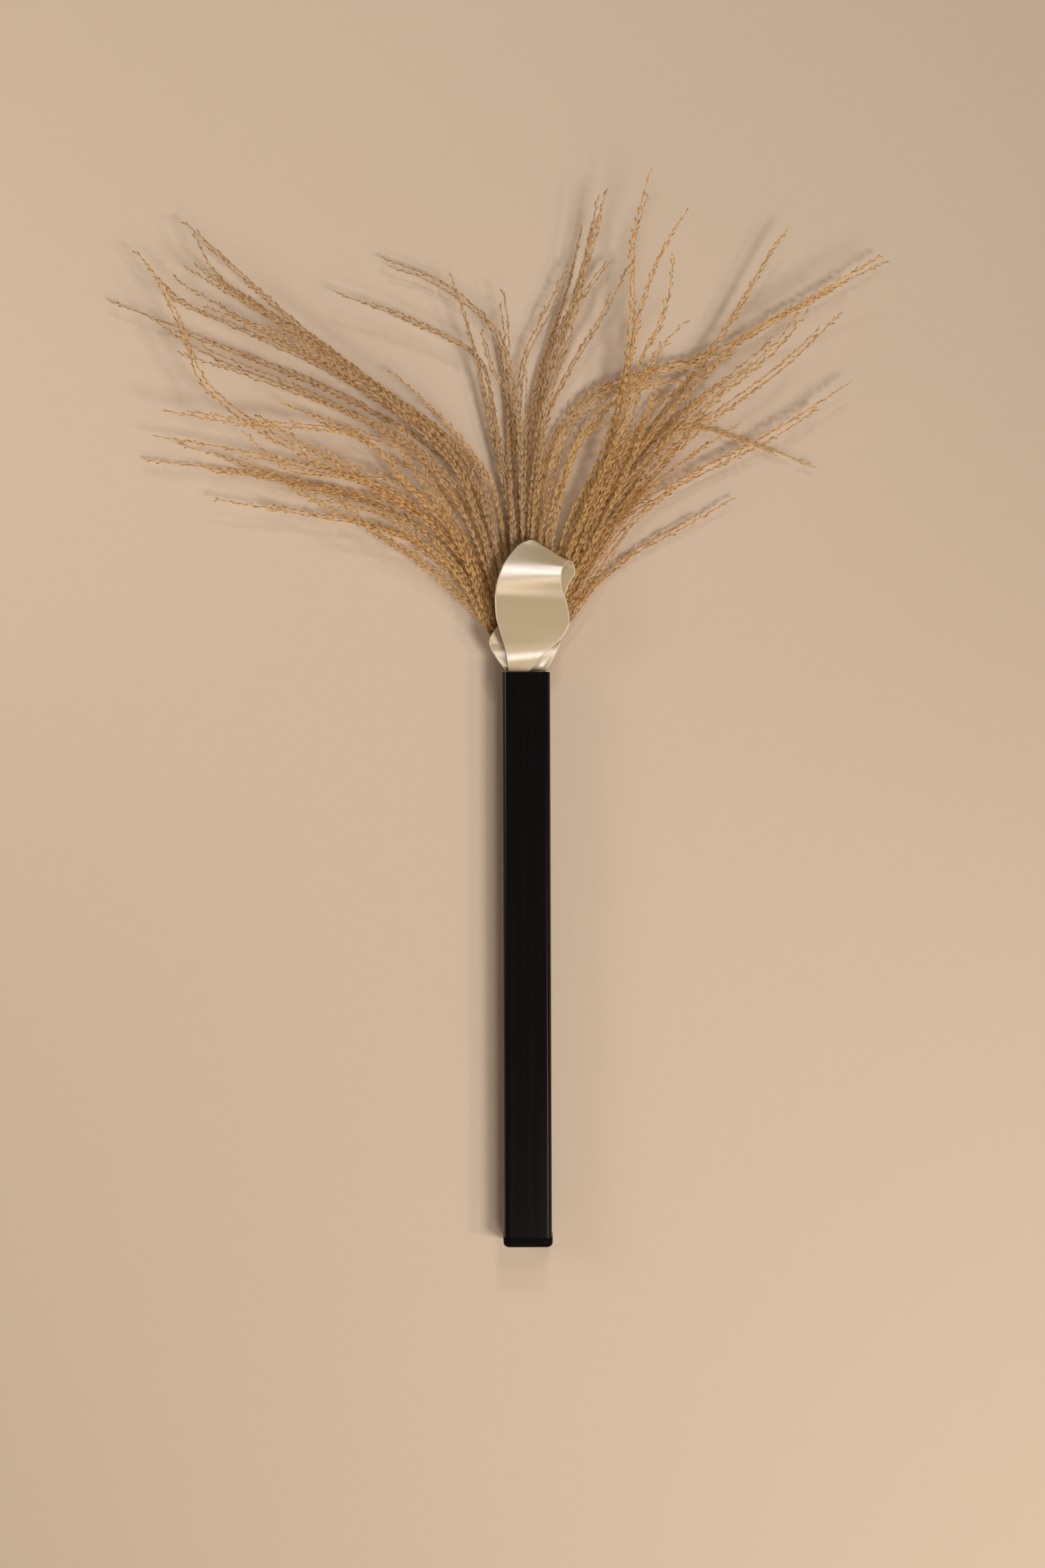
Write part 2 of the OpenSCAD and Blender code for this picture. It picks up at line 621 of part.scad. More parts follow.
module ribbon_loop() {
    grid = [
        for (row = smooth(ribbon_shares, ribbon_along))
            [for (j = [0 : ribbon_across]) ribbon_point(row, 2 * j / ribbon_across - 1)]
    ];
    n = len(grid);
    m = ribbon_across + 1;
    sheet = [
        for (side = [-1, 1], i = [0 : n - 1], j = [0 : m - 1])
            grid[i][j] + facing(grid, i, j) * side * ribbon_t / 2
    ];
    back = n * m;
    color("#cdbfa0")
        polyhedron(
            points = sheet,
            faces = concat(
                [for (i = [0 : n - 2], j = [0 : m - 2])
                    let (a = i * m + j)
                    each [[a, a + m, a + 1], [a + 1, a + m, a + m + 1]]],
                [for (i = [0 : n - 2], j = [0 : m - 2])
                    let (a = back + i * m + j)
                    each [[a, a + 1, a + m], [a + 1, a + m + 1, a + m]]],
                [for (i = [0 : n - 2], j = [0, m - 1])
                    let (a = i * m + j)
                    each j == 0
                        ? [[a, back + a, a + m], [a + m, back + a, back + a + m]]
                        : [[a, a + m, back + a], [a + m, back + a + m, back + a]]],
                [for (i = [0, n - 1], j = [0 : m - 2])
                    let (a = i * m + j)
                    each i == 0
                        ? [[a, a + 1, back + a], [a + 1, back + a + 1, back + a]]
                        : [[a, back + a, a + 1], [a + 1, back + a, back + a + 1]]]
            )
        );
}

wall_plate();
vase_tube();
bottom_cap();
pad_left();
pad_right();
bunch_tie();
ribbon_loop();
culm_left_lower();
culm_left_middle();
culm_left_upper();
culm_centre_left();
culm_centre_right();
culm_right_upper();
culm_right_middle();
culm_right_lower();
plume_left_lower();
plume_left_middle();
plume_left_upper();
plume_centre_left();
plume_centre_right();
plume_right_upper();
plume_right_middle();
plume_right_lower();
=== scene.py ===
import math
import random
from bisect import bisect_right
from typing import NamedTuple

import bmesh
import bpy
from bpy.props import FloatProperty, FloatVectorProperty, IntProperty, PointerProperty
from mathutils import Matrix, Vector


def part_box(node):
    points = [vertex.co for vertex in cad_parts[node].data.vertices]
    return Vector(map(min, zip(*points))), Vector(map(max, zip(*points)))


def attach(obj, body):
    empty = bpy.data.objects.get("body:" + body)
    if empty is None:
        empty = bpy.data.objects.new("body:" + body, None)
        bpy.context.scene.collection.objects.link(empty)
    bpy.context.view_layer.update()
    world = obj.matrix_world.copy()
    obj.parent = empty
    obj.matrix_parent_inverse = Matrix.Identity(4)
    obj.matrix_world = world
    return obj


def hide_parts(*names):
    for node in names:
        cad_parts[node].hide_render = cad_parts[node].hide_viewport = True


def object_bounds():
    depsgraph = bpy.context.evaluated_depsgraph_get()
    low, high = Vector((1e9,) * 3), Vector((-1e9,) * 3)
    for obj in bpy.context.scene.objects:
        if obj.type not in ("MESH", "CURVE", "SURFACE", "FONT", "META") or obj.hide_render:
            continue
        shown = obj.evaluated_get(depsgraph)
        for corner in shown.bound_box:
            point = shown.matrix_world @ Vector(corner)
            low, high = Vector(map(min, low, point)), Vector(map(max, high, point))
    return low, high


bl_info = {
    "name": "Wall Vase Dresser",
    "version": (1, 0, 0),
    "blender": (4, 5, 0),
    "location": "3D View > Sidebar > Wall Vase",
    "description": "Finishes the wall vase and adds its grass plumes and ribbon",
    "category": "Object",
}

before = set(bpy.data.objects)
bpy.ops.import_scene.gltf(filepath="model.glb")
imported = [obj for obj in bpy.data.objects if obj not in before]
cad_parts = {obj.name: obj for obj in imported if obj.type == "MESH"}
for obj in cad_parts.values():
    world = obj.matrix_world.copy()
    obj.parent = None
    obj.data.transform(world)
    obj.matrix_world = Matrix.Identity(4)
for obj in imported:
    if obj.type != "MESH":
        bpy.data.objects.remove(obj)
CAD_LOW, CAD_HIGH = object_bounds()
MM = 0.001
TOWARDS_WALL = Vector((0, 1, 0))

# Levels and faces that the pieces share, read from the frame
TUBE_LOW, TUBE_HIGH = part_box("vase_tube")
TIE_LOW, TIE_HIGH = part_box("bunch_tie")
MOUTH_Z = TUBE_HIGH.z
BUNCH_Y = (TIE_LOW.y + TIE_HIGH.y) / 2


def hex_colour(code):
    """An sRGB hex value as the linear colour that the shaders take."""
    channels = [int(code[i:i + 2], 16) / 255 for i in (1, 3, 5)]
    linear = [c / 12.92 if c <= 0.04045 else ((c + 0.055) / 1.055) ** 2.4 for c in channels]
    return (*linear, 1)


def toned(colour, factor):
    """The colour, paler or darker by a factor."""
    return (*[c * factor for c in colour[:3]], 1)


def per_metre(size_mm):
    """The texture scale at which one cell of a pattern measures size_mm."""
    return 1 / (size_mm * MM)


# The bunch's sizes, as the solids have them
PLUME_H = 410 * MM
CULM_HEAD_D = 4.2 * MM
CULM_DROP = 58 * MM
STALK_PITCH = 1.7 * MM
ROOT_PITCH = 1.15 * MM
STALK_D = 0.8 * MM
LAYER_STEP = 7.5 * MM
WALL_GAP = 9 * MM
NECK_RISE = 40 * MM
NECK_PITCH = 1.75 * MM
NECK_GAP = 4.5 * MM
COLUMNS = 2
ROWS = 5
SPIKE_START_SHARE = 0.2
NECK_SHARE = 0.6
FULL_SHARE = 0.75
CULM_STAGGER = CULM_HEAD_D / 2

# Each raceme is a row of places that it passes, from just above the mouth to its tip: X and Z
# from the middle of the mouth, in hundredths of the plume's height, as in the part's source.
LEFT_LOWER_SHARES = [
    [[-12.2, 20.7], [-27.1, 33.6], [-52.8, 40.7], [-77.6, 44.2]],
    [[-11.5, 21.4], [-24.4, 34.3], [-47.4, 40.1], [-70.7, 47.2]],
    [[-9.5, 14.6], [-25.7, 28.2], [-43.4, 32.3], [-63.7, 35.9]],
    [[-12.2, 23.4], [-25.7, 37], [-48.8, 43.8], [-75.9, 48.5]],
    [[-7.2, 8.9], [-19, 21], [-31.2, 28.9], [-38.6, 35.6], [-48.8, 38.3]],
    [[-11, 18.5], [-20.5, 26.5], [-33.2, 30.6], [-43, 35.6], [-52.4, 40]],
    [[-7, 8.5], [-16.3, 17.3], [-24, 24], [-31.8, 28.6]],
    [[-9.2, 12], [-13, 19.5], [-20.8, 28.5], [-28.5, 32.3], [-33.2, 33.3]],
    [[-14.5, 20.5], [-25, 30], [-31.2, 33.2], [-43.4, 35.2]],
]
LEFT_MIDDLE_SHARES = [
    [[-9.5, 26], [-15, 36], [-22.8, 42.2], [-35.2, 48.8]],
    [[-5, 32], [-8.2, 42], [-17, 52.5], [-27.1, 61.8]],
    [[-10.8, 32.3], [-23, 45.5], [-36.6, 50.5], [-48.8, 55]],
    [[-12, 27.2], [-25, 38.3], [-36.6, 42.1], [-54.5, 52.6]],
    [[-11.6, 24], [-31.2, 37.7], [-51.2, 47.4], [-65, 58], [-69.6, 69.3], [-75.6, 81.7]],
    [[-12.4, 23.5], [-30, 38.5], [-47.4, 41.7], [-56.9, 48.5]],
    [[-11.4, 24.1], [-23.4, 37.3], [-35, 48], [-57.6, 50.3], [-72.2, 52.6]],
    [[-7.6, 12], [-13.6, 28.2], [-19.6, 39.4], [-24.4, 48.5], [-26.7, 49.9]],
    [[-8.6, 12.5], [-14.8, 28.2], [-22, 39.7], [-24.6, 43.8], [-27.6, 47.2]],
]
LEFT_UPPER_SHARES = [
    [[-12.2, 39.7], [-33.9, 55.7], [-56.9, 65.7], [-84.8, 76.7]],
    [[-9.5, 41.7], [-27, 56.5], [-45.8, 71.3], [-69, 92.1]],
    [[-11.5, 39.7], [-32.5, 58], [-56.6, 70.2], [-70, 76.2], [-79.4, 86.3]],
    [[-10.8, 41.1], [-36.6, 63.9], [-60.3, 79.1], [-66.9, 88.6]],
    [[-12.2, 41.7], [-33.9, 59.1], [-55.6, 70.9], [-70.2, 79.4]],
    [[-12.2, 43.1], [-31.2, 58.7], [-52.8, 72.2], [-68.4, 81.7]],
    [[-8.8, 29.5], [-20.3, 43.4], [-42, 55.4], [-62.3, 63.3], [-74.8, 70.9]],
    [[-10.3, 34], [-16.9, 47.2], [-37.9, 62.3], [-56.9, 74.9], [-66, 81.4]],
    [[-11, 34], [-16.8, 44.4], [-31.2, 56.6], [-46.1, 65.9], [-63, 72.6]],
    [[-12.6, 32], [-25.7, 47.2], [-48.8, 56.9], [-69.1, 63.4]],
]
CENTRE_LEFT_SHARES = [
    [[-2.2, 30], [-3.8, 63.4], [-7, 72.2], [-16.9, 80.4], [-28.9, 85.4]],
    [[-1, 28], [-2, 49.9], [-0.7, 63.7], [3.4, 72.9], [8.4, 82.4]],
    [[-3, 34], [-6.5, 52], [-9.8, 64.4], [-23, 71.8], [-37.9, 77.6]],
    [[-1, 30], [-1.4, 48.5], [-3.1, 64.1], [-3.4, 71.5], [-4.5, 78.3]],
    [[-3, 29.5], [-7, 49.9], [-10.4, 65.7], [-14.9, 80.4]],
    [[-0.5, 25], [0, 45], [0.3, 61]],
    [[-2, 28], [-3.4, 39], [-4.7, 44.4], [-6.6, 56.6]],
    [[-1, 35], [-2, 54.6], [-6.5, 60.7], [-8.7, 68.2]],
    [[-2.6, 20], [-3, 40], [-3.6, 53]],
    [[-6.5, 28], [-9, 36], [-12.2, 43.1], [-17, 49]],
]
CENTRE_RIGHT_SHARES = [
    [[-0.3, 28.2], [0.7, 52.6], [4.7, 67.5], [8.8, 79.7], [11.8, 91.9]],
    [[0.4, 32], [1.6, 50], [6.4, 68.8], [12.9, 78.3], [18, 84.8]],
    [[1.1, 32.3], [3.4, 56.6], [8.1, 71.5], [11.9, 83.7], [15, 96.6]],
    [[1.5, 27.5], [4.3, 50.5], [9.5, 62.1], [15.3, 71.5], [21, 82.4]],
    [[1.4, 36.3], [2.4, 49.9], [7.5, 66.1], [12.2, 81.7], [16.4, 97]],
    [[3.1, 27.5], [4.1, 32.3], [5.8, 39.7], [7.5, 45.1]],
    [[0.8, 24], [2, 38], [3.6, 50]],
]
RIGHT_UPPER_SHARES = [
    [[2.7, 36.3], [6.1, 49.2], [14, 58], [24.4, 62.1], [39.3, 66.4], [55.6, 75.3], [72.5, 85.1]],
    [[5, 30], [12, 48], [21.7, 57.5], [37.3, 60.5]],
    [[3.5, 30], [7.5, 46.5], [14, 54.5], [25, 60.4], [41.3, 64.1]],
    [[4.6, 30], [8.5, 44], [11.8, 50.5], [17.3, 55.3]],
    [[6.2, 30], [10.4, 46.5], [12.8, 48.8], [18.8, 51.9]],
    [[8.1, 29.5], [14.5, 43.1], [19.2, 56.6], [21.3, 72.2], [21.7, 86.5], [25.2, 100]],
    [[8.6, 27], [16.8, 46], [20.9, 62.7], [23.3, 73.6], [27.1, 83.7], [32.2, 91.5]],
    [[9.6, 27.5], [19, 49.2], [23.3, 62.3], [28, 71], [30.1, 83.5]],
    [[10, 27], [18.5, 46], [23.5, 58.7], [27, 65], [32.2, 69.9]],
    [[7, 20], [12.4, 34], [16.8, 43.5], [19.8, 50]],
]
RIGHT_MIDDLE_SHARES = [
    [[7, 27], [18, 44], [32, 51], [46.1, 47.8], [58.5, 42.7]],
    [[7.6, 20], [16.2, 38], [25.6, 53], [34.6, 60.7]],
    [[10.6, 25], [23, 46], [36.6, 63.4], [43.4, 73.3], [48.4, 82.1], [53.5, 90.2]],
    [[9.8, 24], [20, 40], [31, 52], [45, 62]],
    [[8.8, 22], [23.5, 46], [42.7, 66.5], [57, 75], [73.4, 82.8]],
    [[10, 24], [22.5, 41], [35.2, 54.6], [49.5, 66.8]],
    [[12.2, 26], [24.4, 41.7], [39.3, 55.3], [50.8, 64.8], [57.3, 72.9]],
    [[8.7, 17.3], [16.3, 36], [22.4, 48], [28.5, 60]],
    [[8, 19], [15, 35.5], [19.9, 46], [23, 55]],
    [[8.6, 17], [17.2, 33.6], [23, 47.2], [26.4, 58.9]],
]
RIGHT_LOWER_SHARES = [
    [[9.1, 12.5], [21, 23.5], [31.8, 29.5], [42.3, 35.6]],
    [[8.4, 16.8], [16.6, 30], [31.2, 39.4], [50, 49], [66.4, 59.1]],
    [[9.5, 17], [20, 35], [28.5, 47], [36.5, 55.5]],
    [[9.8, 16], [20, 32.5], [29, 43], [40, 57.5]],
    [[9.6, 17.5], [19, 33.8], [28.5, 46], [38, 53]],
    [[9.9, 19], [20.7, 34.5], [35, 48.5], [52, 61], [63.7, 72]],
    [[8.5, 15], [19, 31], [30, 41], [43, 50]],
    [[10.5, 14], [19.5, 27.5], [28, 35.5], [36, 41]],
    [[8.6, 13], [16, 25], [22, 33], [28, 40.5]],
    [[7.5, 8.5], [12.5, 16], [18, 25], [22, 31]],
]


class Plume(NamedTuple):
    """One plume: its rows, where they start to spread, a finish slot that is not used, and the look
    of its racemes.
    """
    rows: list
    spread_share: float
    slot: str
    warmth: str
    splay: float
    fluff: float
    dark: float


# Warmth is a tint over husks and hairs. Splay and fluff are how wide the spikelets stand and how
# many hairs they have, beside the usual, and dark is how far the husks are browned.
PLUMES = {
    "left_lower": Plume(LEFT_LOWER_SHARES, 0.27, "plume_amber", "#fff0cf", 1.1, 0.8, 0),
    "left_middle": Plume(LEFT_MIDDLE_SHARES, 0.27, "plume_amber", "#ffedca", 1.05, 0.9, 0),
    "left_upper": Plume(LEFT_UPPER_SHARES, 0.27, "plume_amber", "#f3e2cb", 0.9, 1.05, 0.05),
    "centre_left": Plume(CENTRE_LEFT_SHARES, 0.42, "plume_straw", "#f1e3d2", 0.7, 1.35, 0.1),
    "centre_right": Plume(CENTRE_RIGHT_SHARES, 0.42, "plume_straw", "#f3e4d0", 0.7, 1.35, 0.1),
    "right_upper": Plume(RIGHT_UPPER_SHARES, 0.3, "plume_gold", "#fff0cc", 1.2, 0.9, 0),
    "right_middle": Plume(RIGHT_MIDDLE_SHARES, 0.3, "plume_gold", "#fbebcb", 1.0, 1.0, 0),
    "right_lower": Plume(RIGHT_LOWER_SHARES, 0.3, "plume_gold", "#fbe9c8", 1.1, 0.9, 0),
}

# What the settings of one kind have in common
LENGTH = {"unit": "LENGTH", "precision": 5}
COLOUR = {"subtype": "COLOR", "size": 4, "min": 0, "max": 1}


class GrassSettings(bpy.types.PropertyGroup):
    spacing: FloatProperty(
        name="Spikelet spacing",
        description="Distance between two pairs of spikelets along a raceme",
        default=6.4 * MM, min=2 * MM, max=20 * MM, **LENGTH,
    )
    spike_length: FloatProperty(
        name="Spikelet length", description="Length of a spikelet without its stalk",
        default=5.8 * MM, min=3 * MM, max=10 * MM, **LENGTH,
    )
    spike_width: FloatProperty(
        name="Spikelet width", description="Width of a spikelet at its widest",
        default=1.0 * MM, min=0.4 * MM, max=2.5 * MM, **LENGTH,
    )
    silk_length: FloatProperty(
        name="Silk length", description="Length of the silky hairs at a spikelet's foot",
        default=7.5 * MM, min=2 * MM, max=14 * MM, **LENGTH,
    )
    silk_hairs: IntProperty(
        name="Hairs", description="Silky hairs in one tuft", default=12, min=4, max=30,
    )
    gold: FloatVectorProperty(
        name="Husk gold", description="Colour of the husks",
        default=hex_colour("#ffeac0"), **COLOUR,
    )
    brown: FloatVectorProperty(
        name="Husk brown", description="Colour of the darker husks",
        default=hex_colour("#e8c590"), **COLOUR,
    )
    tip: FloatVectorProperty(
        name="Tip brown", description="Colour of the husks' tips",
        default=hex_colour("#6a421b"), **COLOUR,
    )
    stalk: FloatVectorProperty(
        name="Stalk straw", description="Colour of the bare stalks",
        default=hex_colour("#ecca8c"), **COLOUR,
    )
    silk: FloatVectorProperty(
        name="Silk straw", description="Colour of the silky hairs",
        default=hex_colour("#fff2d4"), **COLOUR,
    )


class RibbonSettings(bpy.types.PropertyGroup):
    width: FloatProperty(
        name="Ribbon width", description="Width of the ribbon, edge to edge",
        default=62 * MM, min=30 * MM, max=90 * MM, **LENGTH,
    )
    thickness: FloatProperty(
        name="Ribbon thickness", description="Thickness of the satin",
        default=0.35 * MM, min=0.1 * MM, max=1 * MM, **LENGTH,
    )
    champagne: FloatVectorProperty(
        name="Champagne", description="Colour of the satin",
        default=hex_colour("#d2bd93"), **COLOUR,
    )


class VesselSettings(bpy.types.PropertyGroup):
    black: FloatVectorProperty(
        name="Tube black", description="Colour of the powder coat",
        default=hex_colour("#0b0a09"), **COLOUR,
    )
    cap_black: FloatVectorProperty(
        name="Cap black", description="Colour of the moulded cap",
        default=hex_colour("#080707"), **COLOUR,
    )


class StageSettings(bpy.types.PropertyGroup):
    wall: FloatVectorProperty(
        name="Wall beige", description="Colour of the painted wall",
        default=hex_colour("#d2bea6"), **COLOUR,
    )
    floor: FloatVectorProperty(
        name="Floor", description="Colour of the floor",
        default=hex_colour("#d9cdbd"), **COLOUR,
    )
    distance: FloatProperty(
        name="Camera distance", description="Distance from the camera to the wall",
        default=2.0, min=1, max=6, **LENGTH,
    )


class VaseSettings(bpy.types.PropertyGroup):
    grass: PointerProperty(type=GrassSettings)
    ribbon: PointerProperty(type=RibbonSettings)
    vessel: PointerProperty(type=VesselSettings)
    stage: PointerProperty(type=StageSettings)


def add_node(tree, kind, inputs=None, **settings):
    """Adds a node. An input goes by number, or by name among those in use, and takes a value, a
    socket, or a node whose first output in use feeds it."""
    node = tree.nodes.new("ShaderNode" + kind)
    for name, value in settings.items():
        setattr(node, name, value)
    for name, value in (inputs or {}).items():
        named = [s for s in node.inputs if s.enabled and s.name == name]
        socket = named[0] if named else node.inputs[name]
        if isinstance(value, bpy.types.Node):
            value = next(s for s in value.outputs if s.enabled)
        if isinstance(value, bpy.types.NodeSocket):
            tree.links.new(value, socket)
        else:
            socket.default_value = value
    return node


def new_material(name, finish, *values):
    """A material that shows what the finish builds in its tree from the values."""
    material = bpy.data.materials.new(name)
    material.use_nodes = True
    tree = material.node_tree
    tree.nodes.clear()
    add_node(tree, "OutputMaterial", {"Surface": finish(tree, *values)})
    return material


def powder_coat(tree, colour):
    """Satin powder coat on extruded aluminium: the baked film has a faint orange peel and a
    soft, even gloss that only the corners catch."""
    place = add_node(tree, "TexCoord").outputs["Object"]
    peel = add_node(tree, "TexNoise", {"Vector": place, "Scale": per_metre(1.6), "Detail": 2})
    drawn = add_node(tree, "Mapping", {"Vector": place, "Scale": (1, 1, 0.04)})
    wiped = add_node(tree, "TexNoise", {"Vector": drawn, "Scale": per_metre(5), "Detail": 3})
    rough = add_node(tree, "MapRange", {
        "Value": wiped, "From Min": 0.3, "From Max": 0.7, "To Min": 0.22, "To Max": 0.28,
    })
    bump = add_node(tree, "Bump", {"Height": peel, "Strength": 0.12, "Distance": 0.05 * MM})
    shade = add_node(
        tree, "Mix", {"Factor": wiped, "A": colour, "B": toned(colour, 1.25)}, data_type="RGBA",
    )
    return add_node(tree, "BsdfPrincipled", {
        "Base Color": shade, "Roughness": rough, "IOR": 1.5, "Specular IOR Level": 0.25,
        "Normal": bump,
    })


def moulded_cap(tree, colour):
    """Injection-moulded polyethylene: duller than the tube, with a fine spark-eroded grain."""
    place = add_node(tree, "TexCoord").outputs["Object"]
    grain = add_node(tree, "TexNoise", {"Vector": place, "Scale": per_metre(0.5), "Detail": 3})
    bump = add_node(tree, "Bump", {"Height": grain, "Strength": 0.3, "Distance": 0.04 * MM})
    shade = add_node(
        tree, "Mix", {"Factor": grain, "A": colour, "B": toned(colour, 1.3)}, data_type="RGBA",
    )
    return add_node(tree, "BsdfPrincipled", {
        "Base Color": shade, "Roughness": 0.5, "IOR": 1.51, "Specular IOR Level": 0.06,
        "Normal": bump,
    })


def brushed_zinc(tree):
    """Zinc-plated sheet steel: brushed along its length, with the dull blue-grey of the plating."""
    place = add_node(tree, "TexCoord").outputs["Object"]
    drawn = add_node(tree, "Mapping", {"Vector": place, "Scale": (1, 1, 0.03)})
    lines = add_node(tree, "TexNoise", {"Vector": drawn, "Scale": per_metre(0.4), "Detail": 4})
    bloom = add_node(tree, "TexNoise", {"Vector": place, "Scale": per_metre(9), "Detail": 2})
    shade = add_node(
        tree, "Mix", {"Factor": bloom, "A": hex_colour("#85888c"), "B": hex_colour("#a5a8aa")},
        data_type="RGBA",
    )
    rough = add_node(tree, "MapRange", {"Value": lines, "To Min": 0.3, "To Max": 0.5})
    bump = add_node(tree, "Bump", {"Height": lines, "Strength": 0.25, "Distance": 0.03 * MM})
    return add_node(tree, "BsdfPrincipled", {
        "Base Color": shade, "Metallic": 1, "Roughness": rough, "Normal": bump,
    })


def mottled(tree, spot_mm, detail, colour, other, surface):
    """A smooth surface that is mottled with another colour, in spots of that size."""
    place = add_node(tree, "TexCoord").outputs["Object"]
    spots = add_node(
        tree, "TexNoise", {"Vector": place, "Scale": per_metre(spot_mm), "Detail": detail},
    )
    shade = add_node(tree, "Mix", {"Factor": spots, "A": colour, "B": other}, data_type="RGBA")
    return add_node(tree, "BsdfPrincipled", {"Base Color": shade, **surface})


def pad_rubber(tree):
    """Nitrile rubber: soft and dull, with a dusty bloom."""
    dull = {"Roughness": 0.85, "IOR": 1.52}
    return mottled(tree, 1.2, 4, hex_colour("#1f1f20"), hex_colour("#343433"), dull)


def aged_brass(tree):
    """Rolled brass strip: gone brown in blotches, still bright between them."""
    worn = {"Metallic": 1, "Roughness": 0.42}
    return mottled(tree, 4, 5, hex_colour("#b3924f"), hex_colour("#6d5530"), worn)


def dry_reed(tree):
    """Dry reed: a hard, slightly glossy rind with fine lengthwise fibres and darker patches."""
    place = add_node(tree, "TexCoord").outputs["Object"]
    drawn = add_node(tree, "Mapping", {"Vector": place, "Scale": (1, 1, 0.05)})
    fibres = add_node(tree, "TexNoise", {"Vector": drawn, "Scale": per_metre(0.5), "Detail": 4})
    stain = add_node(tree, "TexNoise", {"Vector": place, "Scale": per_metre(22), "Detail": 3})
    straw = add_node(
        tree, "Mix", {"Factor": fibres, "A": hex_colour("#c9a968"), "B": hex_colour("#a98748")},
        data_type="RGBA",
    )
    shade = add_node(
        tree, "Mix", {"Factor": stain, "A": straw, "B": hex_colour("#b08a4e")}, data_type="RGBA",
    )
    bump = add_node(tree, "Bump", {"Height": fibres, "Strength": 0.3, "Distance": 0.06 * MM})
    return add_node(tree, "BsdfPrincipled", {
        "Base Color": shade, "Roughness": 0.45, "IOR": 1.5, "Normal": bump,
    })


def thin_plant(tree, shade, through, rough):
    """A dry husk or hair: mostly matte, and a little light comes through it."""
    matte = add_node(tree, "BsdfPrincipled", {
        "Base Color": shade, "Roughness": rough, "IOR": 1.45, "Specular IOR Level": 0.2,
    })
    glow = add_node(tree, "BsdfTranslucent", {"Color": shade})
    return add_node(tree, "MixShader", {"Fac": through, 1: matte, 2: glow})


def husk(tree, settings, plume):
    """Dry grass husks: gold to brown from one spikelet to the next, dark at the tips, with the
    papery matte of a dead leaf."""
    place = add_node(tree, "TexCoord").outputs["Object"]
    tint, tip, stalk = (
        add_node(tree, "Attribute", attribute_name=key).outputs["Fac"]
        for key in ("tint", "tip", "stalk")
    )
    veins = add_node(tree, "TexNoise", {"Vector": place, "Scale": per_metre(1.4), "Detail": 3})
    vein = add_node(tree, "MapRange", {
        "Value": veins, "From Min": 0.45, "From Max": 0.75, "To Max": 0.6,
    })
    shade = settings.gold
    for factor, colour, how in (
        (tint, settings.brown, "MIX"),
        (stalk, settings.stalk, "MIX"),
        (vein, settings.tip, "MIX"),
        (tip, settings.tip, "MIX"),
        (1, hex_colour(plume.warmth), "MULTIPLY"),
        (plume.dark, hex_colour("#4b3218"), "MIX"),
    ):
        shade = add_node(
            tree, "Mix", {"Factor": factor, "A": shade, "B": colour},
            data_type="RGBA", blend_type=how,
        )
    return thin_plant(tree, shade, 0.35, 0.5)


def silk(tree, settings, plume):
    """Silky callus hairs: fine, pale straw, and bright where light comes through them."""
    tint = add_node(tree, "Attribute", attribute_name="tint").outputs["Fac"]
    shade = add_node(
        tree, "Mix", {"Factor": tint, "A": settings.silk, "B": settings.gold}, data_type="RGBA",
    )
    shade = add_node(
        tree, "Mix", {"Factor": 1, "A": shade, "B": hex_colour(plume.warmth)},
        data_type="RGBA", blend_type="MULTIPLY",
    )
    return thin_plant(tree, shade, 0.4, 0.4)


def spline_point(a, b, c, d, t):
    """A point on the smooth curve through a row of places, between b and c."""
    return (
        2 * b + (c - a) * t
        + (2 * a - 5 * b + 4 * c - d) * t * t
        + (3 * b - a - 3 * c + d) * t * t * t
    ) / 2


def smooth_row(row, steps):
    """The row with places added on its smooth curve, so many steps from each to the next."""
    last = len(row) - 1
    points = [
        spline_point(row[max(i - 1, 0)], row[i], row[i + 1], row[min(i + 2, last)], k / steps)
        for i in range(last)
        for k in range(steps)
    ]
    return points + [row[last]]


def running_lengths(points):
    """How far along the line each of its points lies."""
    run = [0.0]
    for a, b in zip(points, points[1:]):
        run.append(run[-1] + (b - a).length)
    return run


class Line:
    """A smooth line that can be read by its running length."""

    def __init__(self, places, steps):
        self.points = smooth_row(places, steps)
        self.run = running_lengths(self.points)
        self.length = self.run[-1]

    def at(self, s):
        """The point and the direction at running length s."""
        s = min(max(s, 0), self.length)
        i = bisect_right(self.run, s, 1, len(self.run) - 1) - 1
        a, b = self.points[i], self.points[i + 1]
        span = max(self.run[i + 1] - self.run[i], 1e-9)
        return a.lerp(b, (s - self.run[i]) / span), (b - a).normalized()


def mesh_from(bm, name, *materials):
    """The finished shape as a mesh with that name."""
    mesh = bpy.data.meshes.new(name)
    bm.to_mesh(mesh)
    bm.free()
    for material in materials:
        mesh.materials.append(material)
    return mesh


def placed(name, data):
    """A new object in the scene, for a mesh, curve, lamp or camera."""
    made = bpy.data.objects.new(name, data)
    bpy.context.collection.objects.link(made)
    return made


def fasten(piece, body, replaced=()):
    """Fastens a finished piece to its body and hides the parts of the frame that it stands for."""
    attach(piece, body)
    if replaced:
        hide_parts(*replaced)


